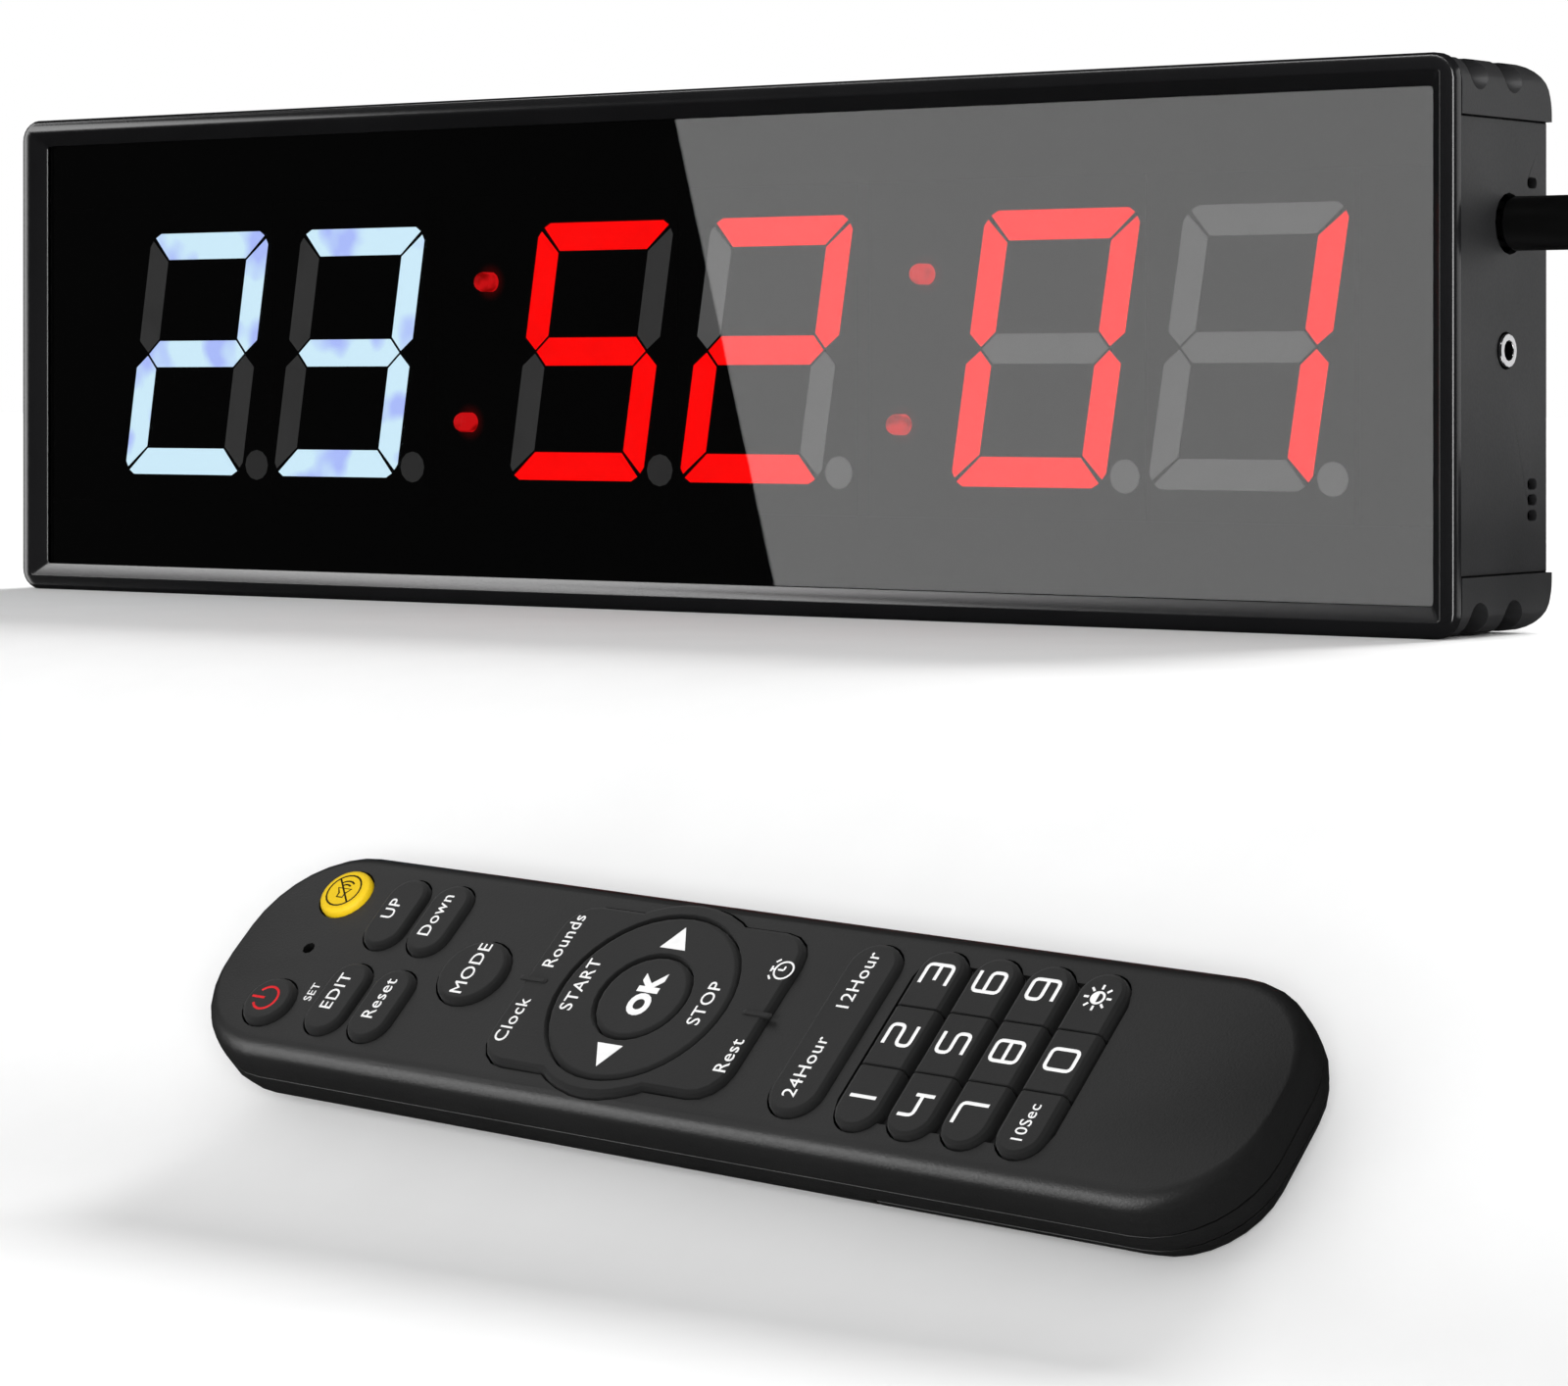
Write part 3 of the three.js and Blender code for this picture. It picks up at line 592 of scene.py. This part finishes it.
def make_glows():
    """A faint red disc round each LED, just in front of the plate that it stands out of."""
    led_glow = glow_material()
    for name in LED_NAMES:
        low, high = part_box(name)
        middle = (low + high) / 2
        outline = rounded(2 * GLOW_RADIUS, 2 * GLOW_RADIUS, GLOW_RADIUS, 10)
        disc = prism(name + "_glow", outline, [(0, 1), (GLOW_THICK, 1)], led_glow, Matrix())
        place = Matrix.Translation((middle.x, LED_MASK_Y - GLOW_THICK, middle.z))
        disc.matrix_world = place @ FACE_FORWARD
        settle(disc, "display")


def mask_plate(name, x0, x1, z0, z1, holes=()):
    """A black plate behind the lens; one with round holes at (x, z, radius) lies further back."""
    outline = [(x0, z0), (x1, z0), (x1, z1), (x0, z1)]
    front = LED_MASK_Y if holes else MASK_Y
    place = Matrix.Translation((0, front + MASK_THICK, 0)) @ FACE_FORWARD
    plate = prism(name, outline, [(0, 1), (MASK_THICK, 1)], digit_black, place)
    for x, z, radius in holes:
        drill = prism(
            "drill", rounded(2 * radius, 2 * radius, radius),
            [(-MASK_THICK, 1), (2 * MASK_THICK, 1)],
            digit_black, place @ Matrix.Translation((x, z, 0)),
        )
        carved(plate, drill)
    settle(plate, "display")


def make_masks():
    """Black plates fill the room that the digit modules leave behind the lens."""
    digit_boxes = [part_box(f"digit_{i}") for i in range(1, 7)]
    module_low, module_high = digit_boxes[0]
    left, right = lens_low.x + MASK_CLEAR, lens_high.x - MASK_CLEAR
    low, high = lens_low.z + MASK_CLEAR, lens_high.z - MASK_CLEAR
    mask_plate("mask_top", left, right, module_high.z + MASK_CLEAR, high)
    mask_plate("mask_base", left, right, low, module_low.z - MASK_CLEAR)
    edges = [left - MASK_CLEAR]
    for box_low, box_high in digit_boxes:
        edges += [box_low.x, box_high.x]
    edges.append(right + MASK_CLEAR)
    leds = [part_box(name) for name in LED_NAMES]
    for number, (x0, x1) in enumerate(zip(edges[::2], edges[1::2]), start=1):
        if x1 - x0 < LEAST_MASK_WIDTH:
            continue
        middles = [((a + b) / 2, (b.x - a.x) / 2 + HOLE_CLEAR) for a, b in leds]
        holes = [(m.x, m.z, radius) for m, radius in middles if x0 < m.x < x1]
        ends = (x0 + MASK_CLEAR, x1 - MASK_CLEAR)
        mask_plate(f"mask_upright_{number}", *ends, module_low.z, module_high.z, holes)


make_glows()
make_masks()


# ---- Screws in the corner blocks ----
SCREW_RADIUS = 2.4 * MM
SCREW_FLOOR = 188.5 * MM
SCREW_PLACES = [(-30.4 * MM, 53.5 * MM), (-16.2 * MM, 53.5 * MM)]
HEAD_RIM = 0.8 * MM
HEAD_HEIGHT = 2 * MM
CROSS_REACH = 1.6 * MM
CROSS_HALF_WIDTH = 0.35 * MM
CROSS_FLOOR = 1.1 * MM


def lathe(name, profile, material, place, steps=32):
    """A smooth solid turned round Z from (radius, z) pairs that start and end on the axis."""
    verts = [place @ Vector((0, 0, profile[0][1]))]
    for radius, z in profile[1:-1]:
        for i in range(steps):
            angle = 2 * math.pi * i / steps
            verts.append(place @ Vector((radius * math.cos(angle), radius * math.sin(angle), z)))
    verts.append(place @ Vector((0, 0, profile[-1][1])))
    rows = len(profile) - 2
    faces = []
    for i in range(steps):
        j = (i + 1) % steps
        faces.append((0, 1 + j, 1 + i))
        last = 1 + (rows - 1) * steps
        faces.append((len(verts) - 1, last + i, last + j))
        for row in range(rows - 1):
            a = 1 + row * steps
            faces.append((a + i, a + j, a + steps + j, a + steps + i))
    return mesh_of(name, verts, faces, material, smooth=True)


def screw_head(name, place):
    """A pan head with a cross recess, its underside at z 0."""
    dome = [(0, 0), (SCREW_RADIUS, 0), (SCREW_RADIUS, HEAD_RIM)]
    for i in range(1, 6):
        angle = i / 6 * math.pi / 2
        rise = (HEAD_HEIGHT - HEAD_RIM) * math.sin(angle)
        dome.append((SCREW_RADIUS * math.cos(angle), HEAD_RIM + rise))
    dome.append((0, HEAD_HEIGHT))
    head = lathe(name, dome, bright_steel, place)
    arm, half = CROSS_REACH, CROSS_HALF_WIDTH
    cross = [
        (arm, -half), (arm, half), (half, half), (half, arm), (-half, arm), (-half, half),
        (-arm, half), (-arm, -half), (-half, -half), (-half, -arm), (half, -arm), (half, -half),
    ]
    tapered = [(CROSS_FLOOR, 0.7), (HEAD_HEIGHT + 0.5 * MM, 1.1)]
    return carved(head, prism("cross", cross, tapered, bright_steel, place))


for end in (1, -1):
    for level in (1, -1):
        for number, (y, z) in enumerate(SCREW_PLACES, start=1):
            place = Matrix.Translation((end * SCREW_FLOOR, y, level * z))
            place = place @ Matrix.Rotation(end * math.pi / 2, 4, "Y")
            tightened = 0.5 * number + level  # the angle at which this screw stopped
            place = place @ Matrix.Rotation(tightened, 4, "Z")
            name = f"screw_{'right' if end > 0 else 'left'}_{'top' if level > 0 else 'base'}_{number}"
            settle(screw_head(name, place), "display")


# ---- Black shade behind the right end's slots, and gaskets in the seams of both ends ----
SHADE_THICK = 0.6 * MM
SHADE_GAP = 0.1 * MM
SHADE_Y = (-9.4 * MM, -3 * MM)
SHADE_HALF_HEIGHT = 40 * MM
SEAM = 0.3 * MM
GASKET_INSET = 0.4 * MM
GASKET_BACK_Y = -0.2 * MM


def block(name, low, high, material):
    """A thin filler with softened edges, carried by the display."""
    middle = (low + high) / 2
    size = high - low
    chamfer = 0.2 * min(size)
    outline = rounded(size.x, size.y, chamfer, 2)
    rings = [(-size.z / 2, 0.99), (-size.z / 2 + chamfer / 2, 1), (size.z / 2, 1)]
    made = prism(name, outline, rings, material, Matrix.Translation(middle))
    settle(made, "display")


def make_fillers():
    plate_low, plate_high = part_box("right_end_plate")
    inside = plate_low.x - SHADE_GAP
    # A black sheet behind the slots: painted shade, so that they look dark inside.
    block(
        "slot_shade",
        Vector((inside - SHADE_THICK, SHADE_Y[0], -SHADE_HALF_HEIGHT)),
        Vector((inside, SHADE_Y[1], SHADE_HALF_HEIGHT)),
        digit_black,
    )
    for end in (1, -1):
        for level in (1, -1):
            corners = [
                Vector((end * x, y, level * z))
                for x, y, z in (
                    (plate_low.x, plate_low.y, plate_high.z),
                    (plate_high.x - GASKET_INSET, GASKET_BACK_Y, plate_high.z + SEAM),
                )
            ]
            low = Vector([min(pair) for pair in zip(*corners)])
            high = Vector([max(pair) for pair in zip(*corners)])
            side = "right" if end > 0 else "left"
            name = f"gasket_{side}_{'top' if level > 0 else 'base'}"
            block(name, low, high, black_plastic)


make_fillers()


# ---- Legends on the remote: places and sizes in mm, in its own frame ----
KEY_TOP = 0.0
SHELL_TOP = -1 * MM
LEGEND_THICK = 0.06 * MM
CAPITAL_SHARE = 0.73  # a capital's height as a share of the typeface's size


def legend_place(x, y, z=KEY_TOP):
    """Text reads towards the remote's +Y, with its tops towards -X."""
    reading = Matrix(((0, -1, 0, 0), (1, 0, 0, 0), (0, 0, 1, 0), (0, 0, 0, 1)))
    return REMOTE @ Matrix.Translation(Vector((x, y, 0)) * MM + Vector((0, 0, z))) @ reading


def plain_mesh(source, name, material):
    """A curve or text object as a plain mesh object."""
    bpy.context.view_layer.update()
    shape = source.evaluated_get(bpy.context.evaluated_depsgraph_get())
    mesh = bpy.data.meshes.new_from_object(shape)
    bpy.data.objects.remove(source)
    mesh.materials.clear()
    return new_object(name, mesh, material)


def word(name, text, height, place, body, weight=0.0):
    """A printed word, centred on place, with capitals of the given height in mm."""
    curve = bpy.data.curves.new(name, "FONT")
    curve.body = text
    curve.size = height * MM / CAPITAL_SHARE
    curve.align_x = "CENTER"
    curve.offset = weight * height * MM * 0.5
    curve.extrude = LEGEND_THICK
    curve.space_character = 1.08
    curve.resolution_u = 4
    source = bpy.data.objects.new(name, curve)
    scene.collection.objects.link(source)
    made = plain_mesh(source, name, legend_white)
    made.data.transform(place @ Matrix.Translation((0, -height * MM / 2, 0)))
    settle(made, body)


def strokes(name, lines, width, place, material, body, corner=0.0):
    """Printed strokes of a given width in mm along (x, y) lines in mm, with round ends."""
    curve = bpy.data.curves.new(name, "CURVE")
    curve.dimensions = "3D"
    curve.bevel_depth = width / 2 * MM
    curve.bevel_resolution = 2
    curve.use_fill_caps = True
    for line in lines:
        closed = line[0] == line[-1]
        points = [Vector((x, y, 0)) * MM for x, y in line]
        points = soften(points, corner * MM, closed)
        spline = curve.splines.new("POLY")
        spline.points.add(len(points) - 1)
        for slot_point, point in zip(spline.points, points):
            slot_point.co = (*point, 1)
        spline.use_cyclic_u = closed
    source = bpy.data.objects.new(name, curve)
    scene.collection.objects.link(source)
    made = plain_mesh(source, name, material)
    flat = 2 * LEGEND_THICK / (width * MM)
    made.data.transform(place @ Matrix.Diagonal((1, 1, flat, 1)))
    settle(made, body)


def soften(points, cut, closed):
    """Rounds the corners of a line by a cut length; a closed line loses its repeated end."""
    if closed:
        points = points[:-1]
    if not cut:
        return points
    made = []
    for i, point in enumerate(points):
        if not closed and i in (0, len(points) - 1):
            made.append(point)
        else:
            made += fillet(points[i - 1], point, points[(i + 1) % len(points)], cut, 4)
    return made


def arc(radius, first, last, steps=24):
    """Points on a circle between two angles in degrees."""
    angles = [math.radians(first + (last - first) * i / steps) for i in range(steps + 1)]
    return [(radius * math.cos(a), radius * math.sin(a)) for a in angles]


def ring_line(radius):
    points = arc(radius, 0, 360)
    points[-1] = points[0]
    return points


# The squared figures on the number keys, on a grid 1 wide and 2 high.
FIGURES = {
    0: [[(0, 0), (1, 0), (1, 2), (0, 2), (0, 0)]],
    1: [[(0.5, 0), (0.5, 2)]],
    2: [[(0, 2), (1, 2), (1, 1), (0, 1), (0, 0), (1, 0)]],
    3: [[(0, 2), (1, 2), (1, 0), (0, 0)], [(0.2, 1), (1, 1)]],
    4: [[(0, 2), (0, 0.9), (1, 0.9)], [(1, 1.4), (1, 0)]],
    5: [[(1, 2), (0, 2), (0, 1), (1, 1), (1, 0), (0, 0)]],
    6: [[(1, 2), (0, 2), (0, 0), (1, 0), (1, 1.1), (0, 1.1)]],
    7: [[(0, 2), (1, 2), (1, 0)]],
    8: [[(0, 0), (1, 0), (1, 2), (0, 2), (0, 0)], [(0, 1), (1, 1)]],
    9: [[(0, 0), (1, 0), (1, 2), (0, 2), (0, 0.9), (1, 0.9)]],
}
FIGURE_WIDTH = 3.6
FIGURE_HEIGHT = 4.5
FIGURE_STROKE = 0.62
FIGURE_CORNER = 0.9
RING_X = -15.4
ARROW_X = -15.7
ARROW_OFFSET = 11.1
RIDGE_OFFSET = 21.6


def figure(name, digit, place, body):
    lines = [
        [((x - 0.5) * FIGURE_WIDTH, (y - 1) * FIGURE_HEIGHT / 2) for x, y in line]
        for line in FIGURES[digit]
    ]
    strokes(name, lines, FIGURE_STROKE, place, legend_white, body, corner=FIGURE_CORNER)


WORDS = [
    # name, words, capital height, x, y, body
    ("legend_edit", "EDIT", 2.4, -72.6, -7.9, "edit_key"),
    ("legend_up", "UP", 2.4, -73.0, 9.1, "up_key"),
    ("legend_reset", "Reset", 2.4, -63.4, -8.0, "reset_key"),
    ("legend_down", "Down", 2.4, -63.6, 9.1, "down_key"),
    ("legend_mode", "MODE", 2.5, -50.0, 0.2, "round_key"),
    ("legend_start", "START", 2.4, -28.0, 0.4, "nav_ring"),
    ("legend_stop", "STOP", 2.4, -4.0, 0.4, "nav_ring"),
    ("legend_clock", "Clock", 2.4, -36.2, -7.9, "function_pad"),
    ("legend_rounds", "Rounds", 2.4, -36.2, 7.8, "function_pad"),
    ("legend_rest", "Rest", 2.4, 5.7, -8.0, "function_pad"),
    ("legend_24_hour", "24Hour", 2.4, 19.6, -7.7, "hour_rocker"),
    ("legend_12_hour", "12Hour", 2.4, 19.6, 8.3, "hour_rocker"),
]
for name, text, height, x, y, body in WORDS:
    word(name, text, height, legend_place(x, y), body)
word("legend_ok", "OK", 3.6, legend_place(RING_X, 0.2), "ok_key", weight=0.16)
word("legend_set", "SET", 1.6, legend_place(-78.2, -8.1, SHELL_TOP), "remote")

NUMBER_X = 32
NUMBER_PITCH = 9.25
COLUMN_PITCH = 11.3
COLUMN_SHIFT = 0.3
NUMBER_KEYS = [1, 2, 3, 4, 5, 6, 7, 8, 9, "10Sec", 0, "light"]
for index, shown in enumerate(NUMBER_KEYS):
    body = f"number_key_{index + 1}"
    x = NUMBER_X + NUMBER_PITCH * (index // 3)
    y = COLUMN_PITCH * (index % 3 - 1) + COLUMN_SHIFT
    place = legend_place(x, y)
    if shown == "10Sec":
        word("legend_10_seconds", shown, 2.0, place, body)
    elif shown == "light":
        rays = [
            [(1.5 * c, 1.5 * s), (2.3 * c, 2.3 * s)]
            for c, s in (arc(1, 0, 315, 7))
        ]
        sun = [*rays, ring_line(1.0)]
        strokes("legend_brightness", sun, 0.4, place, legend_white, body)
        half_disc = [(x * MM, y * MM) for x, y in arc(1.0, 0, 180, 16)]
        layers = [(-LEGEND_THICK, 1), (LEGEND_THICK, 1)]
        fill = prism("legend_brightness_half", half_disc, layers, legend_white, place)
        settle(fill, body)
    else:
        figure(f"legend_figure_{shown}", shown, place, body)

strokes(
    "legend_power",
    [arc(2.2, 125, 415), [(0, 0.3), (0, 2.9)]],
    0.46, legend_place(-85.2, -11.2), legend_red, "power_key",
)
strokes(
    "legend_mute",
    [ring_line(3.1), [(-2.2, -2.2), (2.2, 2.2)],
     [(-1.4, -0.6), (-0.6, -0.6), (0.4, -1.4), (0.4, 1.4), (-0.6, 0.6), (-1.4, 0.6), (-1.4, -0.6)],
     arc(1.2, -40, 40), arc(1.9, -40, 40)],
    0.32, legend_place(-84.9, 11.3), legend_black, "mute_key",
)
strokes(
    "legend_stopwatch",
    [ring_line(1.6), [(0, 0), (0, 1.0)], [(0, 0), (0.7, 0)], [(-0.5, 2.2), (0.5, 2.2)],
     [(0, 1.6), (0, 2.2)], [(-1.9, 1.5), (-1.3, 2.1)], [(1.9, 1.5), (1.3, 2.1)]],
    0.34, legend_place(6.0, 8.4), legend_white, "function_pad",
)
for side in (1, -1):
    tip = [(side * 2.4, 0), (-side * 1.8, 2.4), (-side * 1.8, -2.4)]
    outline = [(x * MM, y * MM) for x, y in (tip if side > 0 else reversed(tip))]
    arrow = prism(
        f"legend_arrow_{'far' if side > 0 else 'near'}", outline,
        [(-LEGEND_THICK, 1), (LEGEND_THICK, 1)], legend_white,
        legend_place(ARROW_X, side * ARROW_OFFSET),
    )
    settle(arrow, "nav_ring")
    ridge = prism(
        f"pad_ridge_{'right' if side > 0 else 'left'}",
        rounded(0.9 * MM, 5.4 * MM, 0.45 * MM, 4), [(-0.1 * MM, 1), (0.12 * MM, 1), (0.25 * MM, 0.8)],
        key_rubber, legend_place(RING_X + side * RIDGE_OFFSET, 0),
    )
    settle(ridge, "function_pad")


# ---- Stage: one pale sweep, level under the display, sloping under the remote ----
SLOPE_ANGLE = math.radians(43)
SWEEP_REACH = 6.0
TOP_FILLET = 40 * MM
BASE_FILLET = 30 * MM
FILLET_STEPS = 10
SLOPE_DROP = 22 * MM


def make_sweep():
    under = REMOTE @ Vector((0, 0, REMOTE_UNDERSIDE))
    down = Vector((math.cos(SLOPE_ANGLE), math.sin(SLOPE_ANGLE)))
    foot = Vector((under.y, under.z))
    top = foot + down * ((display_low - foot.y) / down.y)
    base = foot - down * (SLOPE_DROP / down.y)
    far = Vector((SWEEP_REACH, top.y))
    near = Vector((-SWEEP_REACH, base.y))
    crest = fillet(far, top, base, TOP_FILLET, FILLET_STEPS)
    trough = fillet(top, base, near, BASE_FILLET, FILLET_STEPS)
    profile = [far, *crest, *trough, near]
    verts = [(side * SWEEP_REACH, p.x, p.y) for p in profile for side in (-1, 1)]
    faces = [(2 * i, 2 * i + 1, 2 * i + 3, 2 * i + 2) for i in range(len(profile) - 1)]
    sweep = mesh_of("sweep", verts, faces, sweep_paper, smooth=True)
    sweep.visible_glossy = False
    sweep.visible_transmission = False
    return sweep


sweep_paper = surface("sweep_paper", (0.9, 0.9, 0.9), 0.6, specular=0.0, mottle=0.01, bump=0.0)
sweep = make_sweep()


# ---- Light ----
SOFT_LIGHT = 0.6
MIRRORED_LIGHT = 0.02
WIDE_LIGHT_SPREAD = math.radians(35)


def make_world():
    """White to the camera, a dimmer soft light on everything, and dark in polished surfaces."""
    world = bpy.data.worlds.new("studio")
    world.use_nodes = True
    scene.world = world
    tree = world.node_tree
    path = tree.nodes.new("ShaderNodeLightPath")
    strength = tree.nodes.new("ShaderNodeMapRange")
    strength.inputs["To Min"].default_value = SOFT_LIGHT
    strength.inputs["To Max"].default_value = MIRRORED_LIGHT
    tree.links.new(path.outputs["Is Glossy Ray"], strength.inputs["Value"])
    background = tree.nodes["Background"]
    background.inputs["Color"].default_value = (1, 1, 1, 1)
    seen = tree.nodes.new("ShaderNodeMath")
    seen.operation = "MAXIMUM"
    tree.links.new(path.outputs["Is Camera Ray"], seen.inputs[0])
    tree.links.new(strength.outputs["Result"], seen.inputs[1])
    tree.links.new(seen.outputs["Value"], background.inputs["Strength"])


def shine_only_on(light, takers):
    """Keeps a light's effect to these objects."""
    group = bpy.data.collections.new(light.name + "_takers")
    for taker in takers:
        group.objects.link(taker)
    light.light_linking.receiver_collection = group


def area_light(name, width, height, power):
    data = bpy.data.lights.new(name, "AREA")
    data.shape = "RECTANGLE"
    data.size = width
    data.size_y = height
    data.energy = power
    light = bpy.data.objects.new(name, data)
    light.visible_camera = False
    scene.collection.objects.link(light)
    return light


def softbox(name, toward, distance, width, height, power, takers, centre=(0.05, -0.1, -0.03)):
    """An area light in the given direction from centre, turned to face it."""
    light = area_light(name, width, height, power)
    direction = Vector(toward).normalized()
    light.location = Vector(centre) + direction * distance
    light.rotation_euler = direction.to_track_quat("Z", "Y").to_euler()
    shine_only_on(light, takers)


def wide_light(name, toward, strength, takers):
    """A very large, very soft light, the same everywhere, from the given direction."""
    data = bpy.data.lights.new(name, "SUN")
    data.energy = strength
    data.angle = WIDE_LIGHT_SPREAD
    light = bpy.data.objects.new(name, data)
    light.rotation_euler = Vector(toward).to_track_quat("Z", "Y").to_euler()
    scene.collection.objects.link(light)
    shine_only_on(light, takers)


# The glare's left edge on the lens runs from its foot to its top; its light stands at GLARE_LIGHT_Y.
GLARE_TOP_X = 2.9 * MM
GLARE_BASE_X = 29.9 * MM
GLARE_HALF_HEIGHT = 50.4 * MM
GLARE_LIGHT_Y = -1.037
GLARE_WIDTH = 0.7
GLARE_HEIGHT = 0.6
GLARE_RADIANCE = 1.8


def make_glare():
    """A soft light that the lens mirrors, to the right of a slanting edge."""
    eye = scene.camera.location
    mirrored = Vector((eye.x, 2 * lens_low.y - eye.y, eye.z))
    ends = []
    for x, z in ((GLARE_BASE_X, -GLARE_HALF_HEIGHT), (GLARE_TOP_X, GLARE_HALF_HEIGHT)):
        on_lens = Vector((x, lens_low.y, z))
        reach = (GLARE_LIGHT_Y - mirrored.y) / (on_lens.y - mirrored.y)
        ends.append(mirrored.lerp(on_lens, reach))
    along = (ends[1] - ends[0]).normalized()
    away = Vector((0, -1, 0))
    across = along.cross(away)
    light = area_light(
        "glare", GLARE_WIDTH, GLARE_HEIGHT, GLARE_RADIANCE * math.pi * GLARE_WIDTH * GLARE_HEIGHT
    )
    turn = Matrix((across, along, away)).transposed().to_4x4()
    middle = (ends[0] + ends[1]) / 2 + across * GLARE_WIDTH / 2
    light.matrix_world = Matrix.Translation(middle) @ turn
    shine_only_on(light, [nodes["front_lens"]])


make_world()
make_glare()
FRAME = [nodes["front_frame"]]
RIGHT_END = [
    nodes[name]
    for name in (
        "top_rail", "bottom_rail", "corner_top_right", "corner_bottom_right", "right_end_plate",
        "jack_socket",
    )
] + [made for made in scene.objects if made.name.startswith("screw_")]
SHELLS = [nodes[name] for name in ("remote_upper_shell", "remote_lower_shell", "battery_cover")]
KEYS = [nodes[name] for name in FINISHES[key_rubber]]
KEYS += [made for made in scene.objects if made.name.startswith("pad_ridge")]
REMOTE_PLACE = (0.2, -0.3, -0.1)
# name, direction, distance, width, height, power, what it lights, centre
softbox("rim_strip", (0.88, -0.47, 0.05), 1.6, 0.9, 1.6, 55, FRAME)
softbox("top_box", (-0.2, -0.5, 0.85), 1.6, 2.2, 0.25, 16, FRAME + RIGHT_END)
softbox("left_box", (-0.95, -0.32, 0.1), 1.6, 0.5, 1.6, 10, FRAME)
softbox("end_box", (0.62, 0.76, 0.1), 1.2, 0.8, 0.9, 2.4, FRAME + RIGHT_END, (0.19, 0, 0))
softbox("floor_bounce", (0.65, -0.3, -0.7), 1.2, 0.8, 0.8, 9, RIGHT_END, (0.19, 0, 0))
softbox("remote_side", (-0.6, -0.8, -0.05), 1.2, 1.0, 0.9, 20, SHELLS, REMOTE_PLACE)
softbox("remote_top", (-0.6, -0.1, 0.8), 1.2, 1.2, 0.8, 2.2, SHELLS + KEYS, REMOTE_PLACE)
wide_light("from_behind", (0.0, 0.866, 0.5), 4.6, [sweep])
printed = [
    made for made in scene.objects if made.name.startswith("legend_") or made.name == "mute_key"
]
wide_light("from_camera", (0.59, -0.8, 0.05), 3.8, [sweep, *printed])
